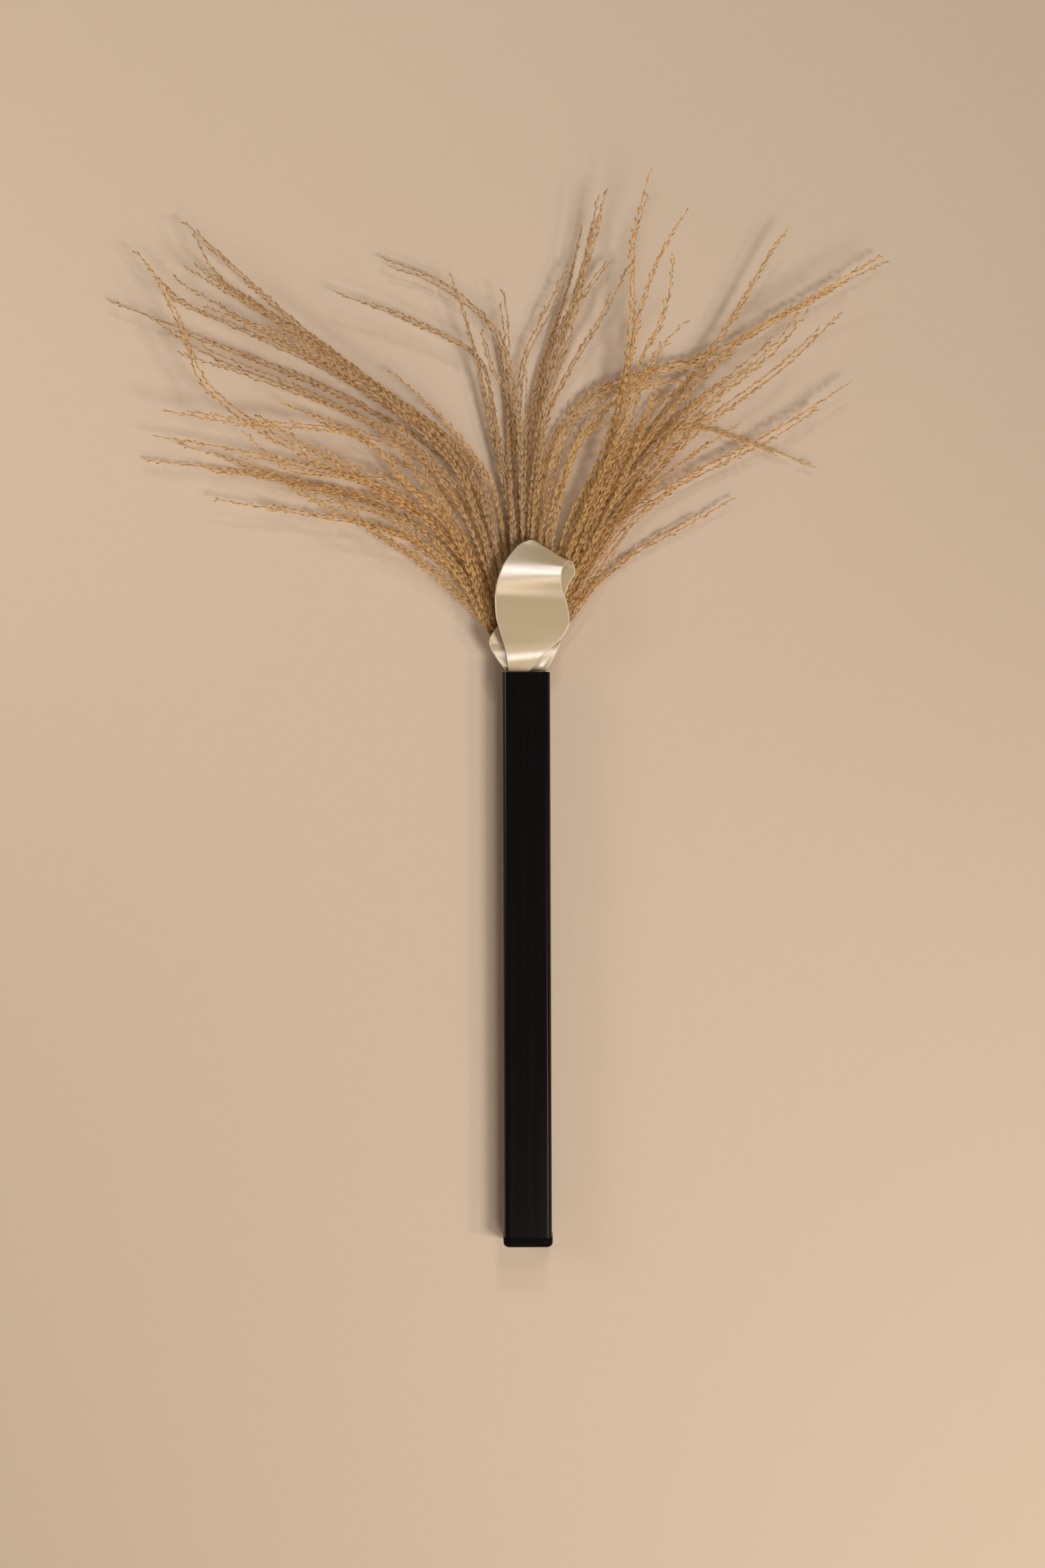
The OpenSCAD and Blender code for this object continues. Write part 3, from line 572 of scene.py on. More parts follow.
def raceme_places(number, start, index, row):
    """The places that a raceme passes: its root, the tie, the mouth, the neck and its row. The
    depth follows its turn in the bunch, as in the solids, so that none meets another."""
    side = index % COLUMNS - (COLUMNS - 1) / 2
    layer = index // COLUMNS - (ROWS - 1) / 2
    culm_x = (number - (len(PLUMES) - 1) / 2) * COLUMNS * STALK_PITCH
    culm_y = BUNCH_Y + (CULM_STAGGER if number % 2 == 0 else -CULM_STAGGER)
    turn = index + number % 2 / 2
    places = [Vector((x * PLUME_H / 100, 0, z * PLUME_H / 100)) for x, z in row]

    def lean(reach):
        wide = max(0, reach / PLUME_H - start) / (1 - start)
        return (
            -(NECK_GAP + (WALL_GAP - NECK_GAP) * wide)
            - turn * (NECK_PITCH + (LAYER_STEP - NECK_PITCH) * wide)
        )

    mouth = Vector((culm_x + side * STALK_PITCH, BUNCH_Y - layer * STALK_PITCH, MOUTH_Z))
    root = Vector((culm_x + side * ROOT_PITCH, culm_y - layer * ROOT_PITCH, MOUTH_Z - CULM_DROP))
    part = min(NECK_RISE / places[0].z, NECK_SHARE)
    neck = Vector((
        mouth.x + (places[0].x - mouth.x) * part, lean(0), MOUTH_Z + places[0].z * part
    ))
    held = Vector((mouth.x, mouth.y, TIE_LOW.z))
    spread = [Vector((p.x, lean(p.length), MOUTH_Z + p.z)) for p in places]
    return [root, held, mouth, neck, *spread]


# Each raceme of the solids stands for two. The second, its twin, shares its first four places,
# from the root to the neck. Beyond them it lies aside and in depth by some millimetres, sways,
# and ends at a share of the last stretch. Two numbers are the ends of a range that chance uses.
SHARED_PLACES = 4
TWIN_ASIDE = (1.2, 3.4)
TWIN_DEPTH = (-0.5, 1)
TWIN_SWAY = (0.7, 1.5)
TWIN_REACH = (0.25, 0.8)
TWIN_SIZE = 0.92


def beside(places, rng):
    """The places of a second, shorter raceme that grows close beside the first one."""
    aside = rng.choice((-1, 1)) * rng.uniform(*TWIN_ASIDE) * MM
    made = places[:SHARED_PLACES]
    last = len(places) - 1
    for i in range(SHARED_PLACES, last + 1):
        ahead = (places[min(i + 1, last)] - places[i - 1]).normalized()
        out = TOWARDS_WALL.cross(ahead)
        grown = min(1, (i - SHARED_PLACES + 1) / 2) * rng.uniform(*TWIN_SWAY)
        depth = Vector((0, rng.uniform(*TWIN_DEPTH) * MM, 0))
        made.append(places[i] + out * aside * grown + depth)
    made[-1] = made[-2].lerp(made[-1], rng.uniform(*TWIN_REACH))
    return made


def drawn_body(bm, stations):
    """A slender closed body: a ring drawn through stations of (height, half width, half
    thickness, offset), and closed at both ends."""
    height, wide, thick, shift = stations[0]
    ring = bmesh.ops.create_circle(bm, segments=HUSK_SIDES, radius=1, cap_ends=True)["verts"]
    bmesh.ops.scale(bm, vec=(wide, thick, 1), verts=ring)
    bmesh.ops.translate(bm, vec=(shift, 0, height), verts=ring)
    edges = list(dict.fromkeys(e for v in ring for e in v.link_edges))
    for station in stations[1:]:
        next_height, next_wide, next_thick, next_shift = station
        grown = bmesh.ops.extrude_edge_only(bm, edges=edges)["geom"]
        ring = [g for g in grown if isinstance(g, bmesh.types.BMVert)]
        edges = [g for g in grown if isinstance(g, bmesh.types.BMEdge)]
        edges = [e for e in edges if all(v in ring for v in e.verts)]
        bmesh.ops.scale(
            bm, vec=(next_wide / wide, next_thick / thick, 1), verts=ring,
            space=Matrix.Translation((-shift, 0, 0)),
        )
        bmesh.ops.translate(bm, vec=(next_shift - shift, 0, next_height - height), verts=ring)
        height, wide, thick, shift = station
    bmesh.ops.pointmerge(bm, verts=ring, merge_co=(shift, 0, height))


# A spikelet's kinds: name, its stalk as a share of its length, and its gape at the tips
SPIKELETS = [
    ("short_closed", 0.12, 0.1 * MM),
    ("long_closed", 0.42, 0.12 * MM),
    ("short_open", 0.12, 0.42 * MM),
    ("long_open", 0.42, 0.5 * MM),
]
# A husk above its stalk, as shares: of its length the height, of its half width the width, the
# thickness and the offset, and of the gape the offset that this adds
HUSK_SHARES = [
    (0.35, 1, 0.5, 0.3, 0),
    (0.75, 0.65, 0.32, 0.25, 0.5),
    (1, 0.1, 0.1, 0, 1),
]
HUSK_SIDES = 4
FOOT_HALF = STALK_D / 7
FOOT_FLARE = 1.4
TIP_FROM = 0.4


def spikelet(settings, name, stalk_share, gape):
    """One spikelet along Z: its stalk, and two husks that part by the gape towards their tips.
    With it comes how near each vertex is to the tips."""
    length = settings.spike_length
    wide = settings.spike_width / 2
    stalk = length * stalk_share
    flared = FOOT_HALF * FOOT_FLARE
    bm = bmesh.new()
    for side in (-1, 1):
        husks = [
            (stalk + length * up, wide * out, wide * deep, side * (wide * shift + gape * opened))
            for up, out, deep, shift, opened in HUSK_SHARES
        ]
        feet = [(0, FOOT_HALF, FOOT_HALF, 0), (stalk, flared, flared, 0)]
        drawn_body(bm, feet + husks)
    bmesh.ops.recalc_face_normals(bm, faces=bm.faces)
    mesh = mesh_from(bm, name)
    height = stalk + length
    tips = [max(0, (v.co.z / height - TIP_FROM) / (1 - TIP_FROM)) ** 0.8 for v in mesh.vertices]
    return mesh, tips


# How spikelets and hairs lean, in degrees: the least, what chance adds, and its power, which
# makes a wide lean rare
SPIKELET_LEAN = (5, 16, 1.8)
HAIR_LEAN = (8, 32, 1.3)


def chance_lean(rng, least, more, power):
    return math.radians(least + more * rng.random() ** power)


TUFT_COUNT = 6
HAIR_W = 0.2 * MM
HAIR_FOOT = 0.15 * MM
HAIR_BENDS = (0.7, 1.25)
HAIR_RANGE = (0.6, 1)


def tuft(settings, name, rng):
    """Silky hairs that spring from one foot. A real hair of 0.03 mm would not show, so each is
    drawn 0.2 mm wide."""
    bm = bmesh.new()
    for _ in range(settings.silk_hairs):
        around = rng.uniform(0, math.tau)
        out = Vector((math.cos(around), math.sin(around), 0))
        across = Vector((-out.y, out.x, 0)) * HAIR_W / 2
        splay = chance_lean(rng, *HAIR_LEAN)
        length = settings.silk_length * rng.uniform(*HAIR_RANGE)
        foot = out * HAIR_FOOT
        ends = [bm.verts.new(foot - across), bm.verts.new(foot + across)]
        edge = bm.edges.new(ends)
        for bend in HAIR_BENDS:
            grown = bmesh.ops.extrude_edge_only(bm, edges=[edge])["geom"]
            ends = [g for g in grown if isinstance(g, bmesh.types.BMVert)]
            edge = next(g for g in grown if isinstance(g, bmesh.types.BMEdge)
                        and all(v in ends for v in g.verts))
            angle = splay * bend
            step = (out * math.sin(angle) + Vector((0, 0, math.cos(angle)))) * length / 2
            bmesh.ops.translate(bm, vec=step, verts=ends)
        bmesh.ops.pointmerge(bm, verts=ends, merge_co=(ends[0].co + ends[1].co) / 2)
    return mesh_from(bm, name)


class Gathering:
    """Many small copies of meshes, gathered into one, with values kept for each vertex."""

    def __init__(self):
        self.bm = bmesh.new()
        self.values = {}

    def add(self, mesh, matrix, **values):
        """Adds a copy. A value is the same for all its vertices, or a list has one for each."""
        copy = mesh.copy()
        copy.transform(matrix)
        self.bm.from_mesh(copy)
        bpy.data.meshes.remove(copy)
        for key, value in values.items():
            each = value if isinstance(value, list) else [value] * len(mesh.vertices)
            self.values.setdefault(key, []).extend(each)

    def made(self, name, material):
        mesh = mesh_from(self.bm, name, material)
        for key, numbers in self.values.items():
            mesh.attributes.new(key, "FLOAT", "POINT").data.foreach_set("value", numbers)
        return placed(name, mesh)


SEED = 11
LINE_STEPS = 6
STALK_STEP = 5 * MM
STALK_TAPER = 0.62
ZIGZAG = 0.12 * MM
ZIGZAG_RISE = 6


def stalk_mesh(name, lines, zigzags):
    """The bare stalks of a plume as thin tubes, each tapering to its tip."""
    curve = bpy.data.curves.new(name, "CURVE")
    curve.dimensions = "3D"
    curve.bevel_depth = 1
    curve.bevel_resolution = 0
    curve.use_fill_caps = True
    for line, zigzag in zip(lines, zigzags):
        count = math.ceil(line.length / STALK_STEP) + 1
        spline = curve.splines.new("POLY")
        spline.points.add(count - 1)
        for k, point in enumerate(spline.points):
            share = k / (count - 1)
            place, along = line.at(share * line.length)
            aside = zigzag.cross(along).normalized()
            grown = min(max((share - SPIKE_START_SHARE) * ZIGZAG_RISE, 0), 1)
            place = place + aside * (1 if k % 2 else -1) * ZIGZAG * grown
            point.co = (*place, 1)
            point.radius = STALK_D / 2 * (1 - STALK_TAPER * share)
    holder = placed(name, curve)
    bpy.context.view_layer.update()
    graph = bpy.context.evaluated_depsgraph_get()
    mesh = bpy.data.meshes.new_from_object(holder.evaluated_get(graph))
    bpy.data.objects.remove(holder)
    bpy.data.curves.remove(curve)
    return mesh


def facing(along, out, place):
    """The turn that lays a piece's Z along a direction and its X outwards, at a place."""
    z = along.normalized()
    y = z.cross(out).normalized()
    x = y.cross(z)
    turn = Matrix((x, y, z)).transposed().to_4x4()
    return Matrix.Translation(place) @ turn


# How far a spikelet's mate sits along the stalk, and how far it strays round it, in radians. The
# rest are ranges: of the bare stalk, of tint, of the tips' burn, of size and of spacing.
MATE_STEP = 1.4 * MM
MATE_STRAY = 0.4
BARE_RANGE = (0.86, 1.0)
RACEME_TINT = (0, 0.6)
SPIKELET_TINT = (0, 0.35)
HAIR_TINT = (0, 0.4)
TIP_BURN = (0.4, 1.0)
SPIKELET_RANGE = (0.85, 1.15)
SPACING_RANGE = (0.7, 1.3)


def dress_raceme(line, size, plume, settings, spikelets, tufts, rng, husks, hairs):
    """Sets pairs of spikelets, each with its silk, along one raceme."""
    bare = SPIKE_START_SHARE * line.length
    s = bare * rng.uniform(*BARE_RANGE)
    raceme_tint = rng.uniform(*RACEME_TINT)
    while s < line.length:
        along = line.at(s)[1]
        level = TOWARDS_WALL.cross(along).normalized()
        share = max((s - bare) / (line.length - bare), 0)
        grown = size * min(1, 0.6 + 1.6 * share) * (1 - 0.25 * share ** 3)
        turn = rng.uniform(0, math.tau)
        for mate in (0, 1):
            # The mates sit on opposite sides, close to the stalk, and now and then one stands out
            around = turn + math.pi * mate + rng.gauss(0, MATE_STRAY)
            out = Matrix.Rotation(around, 3, along) @ level
            lean = chance_lean(rng, *SPIKELET_LEAN) * plume.splay * (0.8 + 0.4 * share)
            aim = along * math.cos(lean) + out * math.sin(lean)
            foot = line.at(s + mate * MATE_STEP)[0] + out * STALK_D * 0.25
            mesh, tips = spikelets[rng.choice((mate, mate + 2))]
            grade = grown * rng.uniform(*SPIKELET_RANGE)
            matrix = facing(aim, out, foot) @ Matrix.Scale(grade, 4)
            tint = min(1, raceme_tint + rng.uniform(*SPIKELET_TINT))
            burn = rng.uniform(*TIP_BURN)
            husks.add(mesh, matrix, tint=tint, tip=[burn * t for t in tips], stalk=0)
            # The fluffier the plume, the more feet have a second tuft
            for _ in range(2 if rng.random() < plume.fluff - 0.3 else 1):
                wisp = rng.choice(tufts)
                spin = Matrix.Rotation(rng.uniform(0, math.tau), 4, "Z")
                hairs.add(wisp, matrix @ spin, tint=rng.uniform(*HAIR_TINT))
        s += settings.spacing * size ** 0.5 * rng.uniform(*SPACING_RANGE)


class WALLVASE_OT_plumes(bpy.types.Operator):
    """Grows the eight plumes: stalks, pairs of spikelets and their silky hairs"""
    bl_idname = "wallvase.plumes"
    bl_label = "Grow the plumes"

    def execute(self, context):
        settings = context.scene.wall_vase.grass
        rng = random.Random(SEED)
        spikelets = [spikelet(settings, *kind) for kind in SPIKELETS]
        tufts = [tuft(settings, f"tuft_{k}", rng) for k in range(TUFT_COUNT)]
        for number, (name, plume) in enumerate(PLUMES.items()):
            husks, hairs = Gathering(), Gathering()
            lines = []
            sizes = []
            for i, row in enumerate(plume.rows):
                places = raceme_places(number, plume.spread_share, i, row)
                size = min(1, Vector(row[-1]).length / 100 / FULL_SHARE) ** 0.5
                lines += [Line(places, LINE_STEPS), Line(beside(places, rng), LINE_STEPS)]
                sizes += [size, size * TWIN_SIZE]
            zigzags = [Vector((rng.uniform(-1, 1), 1, rng.uniform(-1, 1))) for _ in lines]
            stalks = stalk_mesh(f"{name}_stalks", lines, zigzags)
            husks.add(stalks, Matrix.Identity(4), tint=0.3, tip=0, stalk=1)
            for line, size in zip(lines, sizes):
                dress_raceme(line, size, plume, settings, spikelets, tufts, rng, husks, hairs)
            straw = new_material(f"husk_{name}", husk, settings, plume)
            floss = new_material(f"silk_{name}", silk, settings, plume)
            fasten(husks.made(f"husks_{name}", straw), "bouquet", [f"plume_{name}"])
            fasten(hairs.made(f"silk_{name}", floss), "bouquet")
        return {"FINISHED"}


# The ribbon as straight lines laid across it, from its front tail over the top to its back tail.
# Each row gives the left end and the right end, from the middle of the mouth, as shares of the
# ribbon's width: X, height, and depth towards the room; then the depth of the pleats.
RIBBON_SHARES = [
    [(-0.21, -0.38, -0.02), (0.16, -0.38, -0.02), 0.045],
    [(-0.22, -0.1, -0.02), (0.11, -0.1, -0.02), 0.038],
    [(-0.23, 0, 0), (0.05, 0, 0), 0.004],
    [(-0.252, 0.13, 0.09), (0.17, 0.18, 0.085), 0],
    [(-0.287, 0.33, 0.155), (0.33, 0.32, 0.125), 0],
    [(-0.35, 0.54, 0.175), (0.49, 0.46, 0.145), 0],
    [(-0.403, 0.74, 0.19), (0.583, 0.65, 0.16), 0],
    [(-0.413, 0.97, 0.2), (0.556, 0.9, 0.17), 0],
    [(-0.403, 1.13, 0.175), (0.489, 1.1, 0.15), 0],
    [(-0.368, 1.27, 0.14), (0.48, 1.255, 0.128), 0],
    [(-0.305, 1.44, 0.08), (0.493, 1.37, 0.09), 0],
    [(-0.197, 1.6, 0.005), (0.53, 1.445, 0.052), 0],
    [(-0.063, 1.74, -0.07), (0.6, 1.498, -0.028), 0],
    [(0.108, 1.79, -0.115), (0.655, 1.44, -0.068), 0],
    [(0.15, 1.66, -0.125), (0.662, 1.32, -0.088), 0],
    [(0.05, 1.4, -0.12), (0.592, 1.21, -0.1), 0],
    [(-0.15, 1.0, -0.105), (0.5, 0.95, -0.11), 0],
    [(-0.37, 0.64, -0.04), (0.45, 0.6, -0.06), 0],
    [(-0.487, 0.47, 0.005), (0.47, 0.45, 0.02), 0],
    [(-0.482, 0.34, 0.03), (0.455, 0.37, 0.05), 0],
    [(-0.4, 0.19, -0.01), (0.38, 0.2, 0), 0],
    [(-0.26, 0, -0.066), (0.25, 0, -0.058), 0],
    [(-0.22, -0.1, -0.068), (0.21, -0.1, -0.068), -0.038],
    [(-0.2, -0.38, -0.068), (0.19, -0.38, -0.068), -0.045],
]
RIBBON_ALONG = 8
RIBBON_ACROSS = 45
RIBBON_PLEATS = 4.5
RIBBON_GAP = 2.05 * MM
TUBE_WALL = 2 * MM


def ribbon_ends(settings):
    """The two ends of each line across the ribbon, and its pleats' depth, smoothed lengthwise."""
    w = settings.width
    plane = TUBE_LOW.y + TUBE_WALL + RIBBON_GAP

    def end(place):
        x, z, deep = place
        return Vector((x * w, plane - deep * w, MOUTH_Z + z * w))

    lefts, rights, pleats = zip(*RIBBON_SHARES)
    rows = [end(p) for p in lefts], [end(p) for p in rights], [p * w for p in pleats]
    return [smooth_row(row, RIBBON_ALONG) for row in rows]


def woven_satin(tree, settings):
    """Polyester satin: long floats along the ribbon give broad, soft bands of shine, and the
    woven edge is a firmer, paler line with the weft's turns along it."""
    uv = add_node(tree, "UVMap", uv_map="weave")
    apart = add_node(tree, "SeparateXYZ", {"Vector": uv})
    across, along = apart.outputs[0], apart.outputs[1]
    # The weft's turns are 0.35 mm apart, and drawn 0.8 mm apart so that they show
    turns = add_node(tree, "Math", {0: along, 1: math.tau * per_metre(0.8)}, operation="MULTIPLY")
    rib = add_node(tree, "Math", {0: turns}, operation="SINE")
    # Distance from the nearer edge
    half = settings.width / 2
    off_middle = add_node(tree, "Math", {0: across, 1: half}, operation="SUBTRACT")
    off_middle = add_node(tree, "Math", {0: off_middle}, operation="ABSOLUTE")
    edge = add_node(tree, "Math", {0: half, 1: off_middle}, operation="SUBTRACT")
    selvedge = add_node(tree, "MapRange", {
        "Value": edge, "From Min": 0.7 * MM, "From Max": 1.1 * MM, "To Min": 1, "To Max": 0,
    })
    # Warp floats, 0.25 mm apart and drawn 0.5 mm wide, 12 mm long
    long = add_node(tree, "Mapping", {"Vector": uv, "Scale": (per_metre(0.5), per_metre(12), 1)})
    floats = add_node(tree, "TexNoise", {"Vector": long, "Scale": 1, "Detail": 2})
    height = add_node(tree, "Math", {0: rib, 1: selvedge, 2: floats}, operation="MULTIPLY_ADD")
    bump = add_node(tree, "Bump", {"Height": height, "Strength": 0.16, "Distance": 0.08 * MM})
    shade = add_node(
        tree, "Mix",
        {"Factor": floats, "A": settings.champagne, "B": toned(settings.champagne, 0.9)},
        data_type="RGBA",
    )
    shade = add_node(
        tree, "Mix", {"Factor": selvedge, "A": shade, "B": hex_colour("#eadfc9")},
        data_type="RGBA",
    )
    shader = add_node(tree, "BsdfPrincipled", {
        "Base Color": shade, "Roughness": 0.45, "IOR": 1.55, "Sheen Weight": 0.15,
        "Sheen Roughness": 0.4, "Normal": bump,
    })
    lay = add_node(tree, "Tangent", direction_type="UV_MAP", uv_map="weave")
    # The floats also mirror the room like fine parallel threads, brighter than a plain plastic
    threads = add_node(tree, "BsdfAnisotropic", {
        "Color": hex_colour("#f8f0e6"), "Roughness": 0.33, "Anisotropy": -0.5, "Normal": bump,
        "Tangent": lay,
    })
    return add_node(tree, "MixShader", {"Fac": 0.3, 1: shader, 2: threads})


class WALLVASE_OT_ribbon(bpy.types.Operator):
    """Lays the satin ribbon through its loop and tucks its tails into the mouth"""
    bl_idname = "wallvase.ribbon"
    bl_label = "Lay the ribbon"

    def execute(self, context):
        settings = context.scene.wall_vase.ribbon
        left, right, pleats = ribbon_ends(settings)
        middle = [(a + b) / 2 for a, b in zip(left, right)]
        run = running_lengths(middle)
        last_row = len(left) - 1
        bm = bmesh.new()
        grid = bmesh.ops.create_grid(
            bm, x_segments=RIBBON_ACROSS, y_segments=last_row, size=0.5, calc_uvs=False
        )["verts"]
        weave = bm.loops.layers.uv.new("weave")
        flat = {}
        for vert in grid:
            share = round((vert.co.x + 0.5) * RIBBON_ACROSS) / RIBBON_ACROSS
            i = round((vert.co.y + 0.5) * last_row)
            flat[vert] = (share * settings.width, run[i])
            place = left[i].lerp(right[i], share)
            across = (right[i] - left[i]).normalized()
            ahead = middle[min(i + 1, last_row)] - middle[max(i - 1, 0)]
            out = across.cross(ahead).normalized()
            vert.co = place + out * pleats[i] * math.cos(math.tau * RIBBON_PLEATS * share)
        for face in bm.faces:
            face.smooth = True
            for loop in face.loops:
                loop[weave].uv = flat[loop.vert]
        satin = new_material("polyester_satin", woven_satin, settings)
        ribbon = placed("ribbon_satin", mesh_from(bm, "ribbon_satin", satin))
        thick = ribbon.modifiers.new("thickness", "SOLIDIFY")
        thick.thickness = settings.thickness
        thick.offset = 0
        fasten(ribbon, "ribbon", ["ribbon_loop"])
        return {"FINISHED"}


class WALLVASE_OT_vessel(bpy.types.Operator):
    """Finishes the tube, its cap, the wall plate, the pads, the tie and the reeds"""
    bl_idname = "wallvase.vessel"
    bl_label = "Finish the vessel"

    def execute(self, context):
        settings = context.scene.wall_vase.vessel
        reed = new_material("dry_reed", dry_reed)
        rubber = new_material("nitrile_rubber", pad_rubber)
        finishes = {
            "vase_tube": new_material("satin_powder_coat", powder_coat, settings.black),
            "bottom_cap": new_material("moulded_polyethylene", moulded_cap, settings.cap_black),
            "wall_plate": new_material("zinc_plated_steel", brushed_zinc),
            "pad_left": rubber,
            "pad_right": rubber,
            "bunch_tie": new_material("aged_brass", aged_brass),
        }
        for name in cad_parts:
            if name.startswith("culm_"):
                finishes[name] = reed
        for name, material in finishes.items():
            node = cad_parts[name]
            node.data.materials.clear()
            node.data.materials.append(material)
        return {"FINISHED"}


def wall_paint(tree, colour):
    """Matt emulsion on plaster: a roller's fine stipple, random changes of tone, and painted light.
    Seen from behind it lets the view through, so that the back of the object can be seen."""
    place = add_node(tree, "TexCoord").outputs["Object"]
    stipple = add_node(tree, "TexNoise", {"Vector": place, "Scale": per_metre(3.2), "Detail": 3})
    cloud = add_node(tree, "TexNoise", {"Vector": place, "Scale": per_metre(900), "Detail": 1})
    bump = add_node(tree, "Bump", {"Height": stipple, "Strength": 0.25, "Distance": 0.25 * MM})
    # Painted light: the wall is paler towards the left and darker towards the right, the more so
    # the higher up, for light that falls unevenly over it
    apart = add_node(tree, "SeparateXYZ", {"Vector": place})
    height = add_node(tree, "Math", {0: apart.outputs[2], 1: 0.6}, operation="ADD")
    side = add_node(
        tree, "Math", {0: apart.outputs[0], 1: height, 2: 0.5}, operation="MULTIPLY_ADD",
    )
    # Paler and darker copies of the wall colour, mixed as painted light
    painted_light_tone = add_node(
        tree, "Mix", {"Factor": side, "A": toned(colour, 1.3), "B": toned(colour, 0.73)},
        data_type="RGBA",
    )
    shade = add_node(
        tree, "Mix", {"Factor": cloud, "A": painted_light_tone, "B": toned(colour, 0.97)}, data_type="RGBA",
    )
    paint = add_node(tree, "BsdfPrincipled", {
        "Base Color": shade, "Roughness": 0.85, "Normal": bump,
    })
    clear = add_node(tree, "BsdfTransparent")
    behind = add_node(tree, "NewGeometry").outputs["Backfacing"]
    shadow = add_node(tree, "LightPath").outputs["Is Shadow Ray"]
    open_side = add_node(tree, "Math", {0: behind, 1: shadow}, operation="MAXIMUM")
    return add_node(tree, "MixShader", {"Fac": open_side, 1: paint, 2: clear})


def floor_paint(tree, colour):
    """Plain pale floor, with a faint speck."""
    return mottled(tree, 6, 2, colour, toned(colour, 0.96), {"Roughness": 0.8})


def flat_plane(name, size, matrix, material):
    """A square sheet of the stage, size from its middle to a side."""
    bm = bmesh.new()
    bmesh.ops.create_grid(bm, x_segments=1, y_segments=1, size=size, matrix=matrix)
    placed(name, mesh_from(bm, name, material))


# The lamps: name, place, aim, size, watts, colour, and whether gloss mirrors the lamp. One that
# is not mirrored stands for light so wide and even that gloss shows no image of it.
LAMPS = [
    ("key_low_right", (1.2, -2.4, -0.85), (0, 0, 0), 0.7, 37, "#fbfafc", False),
    ("warm_right", (1.9, -2.1, -0.75), (0, 0, 0.05), 0.3, 11, "#ffe8d0", True),
    ("window_left", (-1.8, -1.1, 0.4), (0, 0, 0.1), 0.9, 8, "#fff8f0", True),
    ("ceiling", (0.3, -1.6, 1.72), (0, 0, 0.15), 0.28, 7.4, "#f2f5ff", True),
    ("warm_above", (0.5, -2.1, 1.3), (0, 0, 0.15), 0.55, 6.0, "#ffead6", True),
    ("floor_bounce", (0.4, -1.8, -1.2), (0, 0, 0.1), 0.42, 6.5, "#fbfaff", True),
]


def soft_light(name, place, aim, size, watts, colour, mirrored):
    """A round soft lamp."""
    light = bpy.data.lights.new(name, "AREA")
    light.shape = "DISK"
    light.size = size
    light.energy = watts
    light.color = hex_colour(colour)[:3]
    lamp = placed(name, light)
    lamp.visible_glossy = mirrored
    lamp.location = place
    lamp.rotation_euler = (Vector(aim) - Vector(place)).to_track_quat("-Z", "Y").to_euler()


def pale_room():
    """The room's own light: dim in front of the wall, so that the tube has little to mirror, and
    brighter behind it, for views of the back."""
    world = bpy.data.worlds.new("pale_room")
    world.use_nodes = True
    tree = world.node_tree
    tree.nodes.clear()
    seen = add_node(tree, "LightPath").outputs["Is Camera Ray"]
    ahead = add_node(tree, "TexCoord").outputs["Generated"]
    ahead = add_node(tree, "SeparateXYZ", {"Vector": ahead}).outputs[1]
    level = add_node(tree, "MapRange", {
        "Value": ahead, "From Min": -0.2, "From Max": 0.5, "To Min": 0.07, "To Max": 0.5,
    })
    glow = add_node(tree, "Background", {"Color": hex_colour("#fff6ee"), "Strength": level})
    view = add_node(tree, "Background", {"Color": hex_colour("#e4d8c8"), "Strength": 1})
    both = add_node(tree, "MixShader", {"Fac": seen, 1: glow, 2: view})
    add_node(tree, "OutputWorld", {"Surface": both})
    return world


# The photograph's frame in pixels, and the mouth's middle and the tube's width in it
FRAME_W, FRAME_H = 1568, 2352
MOUTH_PX = (790, 1008)
TUBE_W_PX = 72
TUBE_W = 40 * MM
PX = TUBE_W / TUBE_W_PX
ROLL = math.radians(0.2)
SENSOR = 36


def photo_camera(distance):
    """A camera straight in front of the wall, with the photograph's frame."""
    camera = bpy.data.cameras.new("camera")
    camera.sensor_width = SENSOR
    camera.lens = SENSOR * (distance + TUBE_LOW.y) / (FRAME_H * PX)
    holder = placed("camera", camera)
    holder.location = (
        (FRAME_W / 2 - MOUTH_PX[0]) * PX,
        -distance,
        MOUTH_Z + (MOUTH_PX[1] - FRAME_H / 2) * PX,
    )
    holder.rotation_euler = (math.radians(90), ROLL, 0)
    return holder


# Half widths of the wall and the floor, and how far the floor lies below the object
WALL_HALF = 3.0
FLOOR_HALF = 4.0
FLOOR_DROP = 1.25


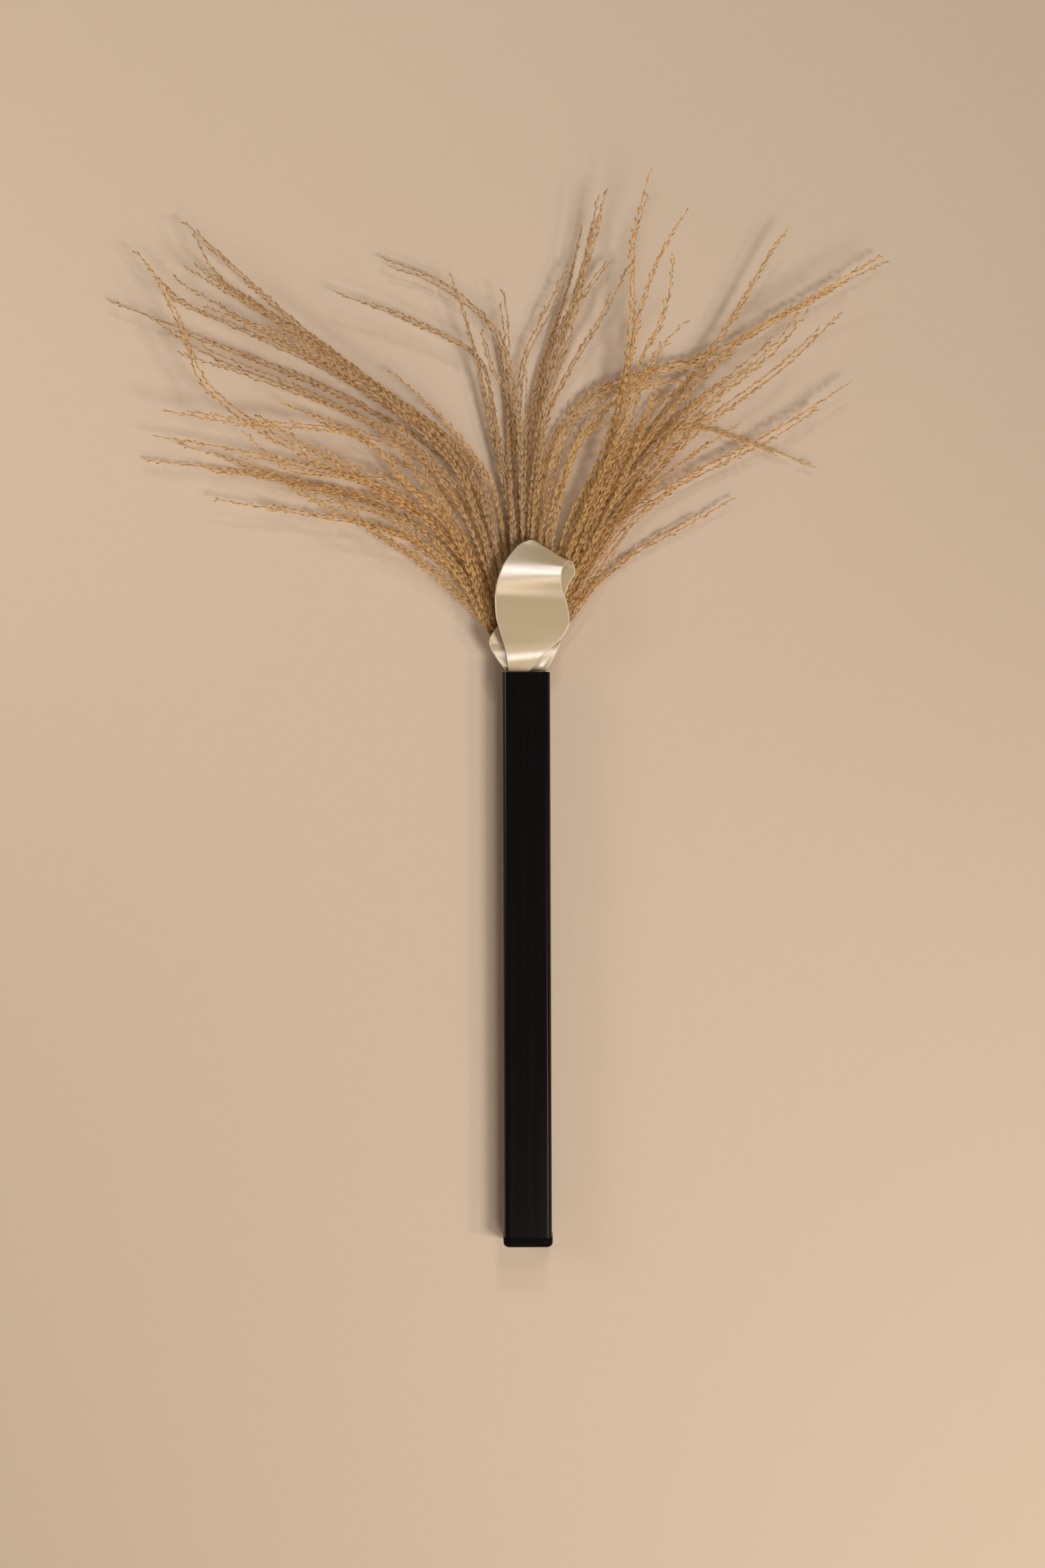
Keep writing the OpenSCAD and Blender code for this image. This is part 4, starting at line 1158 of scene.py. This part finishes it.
class WALLVASE_OT_stage(bpy.types.Operator):
    """Sets the wall, the floor, the lamps and the camera"""
    bl_idname = "wallvase.stage"
    bl_label = "Set the stage"

    def execute(self, context):
        scene = context.scene
        settings = scene.wall_vase.stage
        upright = Matrix.Rotation(math.radians(90), 4, "X")
        lowered = Matrix.Translation((0, 0, CAD_LOW.z - FLOOR_DROP))
        emulsion = new_material("matt_emulsion", wall_paint, settings.wall)
        flat_plane("wall", WALL_HALF, upright, emulsion)
        pale = new_material("pale_floor", floor_paint, settings.floor)
        flat_plane("floor", FLOOR_HALF, lowered, pale)
        for lamp in LAMPS:
            soft_light(*lamp)
        scene.world = pale_room()
        scene.camera = photo_camera(settings.distance)
        scene.view_settings.view_transform = "Standard"
        return {"FINISHED"}


class WALLVASE_PT_panel(bpy.types.Panel):
    """Lists the vase's operators and its settings"""
    bl_idname = "WALLVASE_PT_panel"
    bl_label = "Wall Vase"
    bl_space_type = "VIEW_3D"
    bl_region_type = "UI"
    bl_category = "Wall Vase"

    def draw(self, context):
        settings = context.scene.wall_vase
        for operator in OPERATORS:
            self.layout.operator(operator.bl_idname)
        for part in (settings.vessel, settings.grass, settings.ribbon, settings.stage):
            box = self.layout.box()
            for name in part.__annotations__:
                box.prop(part, name)


OPERATORS = (WALLVASE_OT_vessel, WALLVASE_OT_plumes, WALLVASE_OT_ribbon, WALLVASE_OT_stage)
GROUPS = (GrassSettings, RibbonSettings, VesselSettings, StageSettings, VaseSettings)


def register():
    for item in (*GROUPS, *OPERATORS, WALLVASE_PT_panel):
        bpy.utils.register_class(item)
    bpy.types.Scene.wall_vase = PointerProperty(type=VaseSettings)


def unregister():
    del bpy.types.Scene.wall_vase
    for item in reversed((*GROUPS, *OPERATORS, WALLVASE_PT_panel)):
        bpy.utils.unregister_class(item)


def main():
    register()
    bpy.ops.wallvase.vessel()
    bpy.ops.wallvase.plumes()
    bpy.ops.wallvase.ribbon()
    bpy.ops.wallvase.stage()
    bpy.context.view_layer.update()


if __name__ == "__main__":
    main()
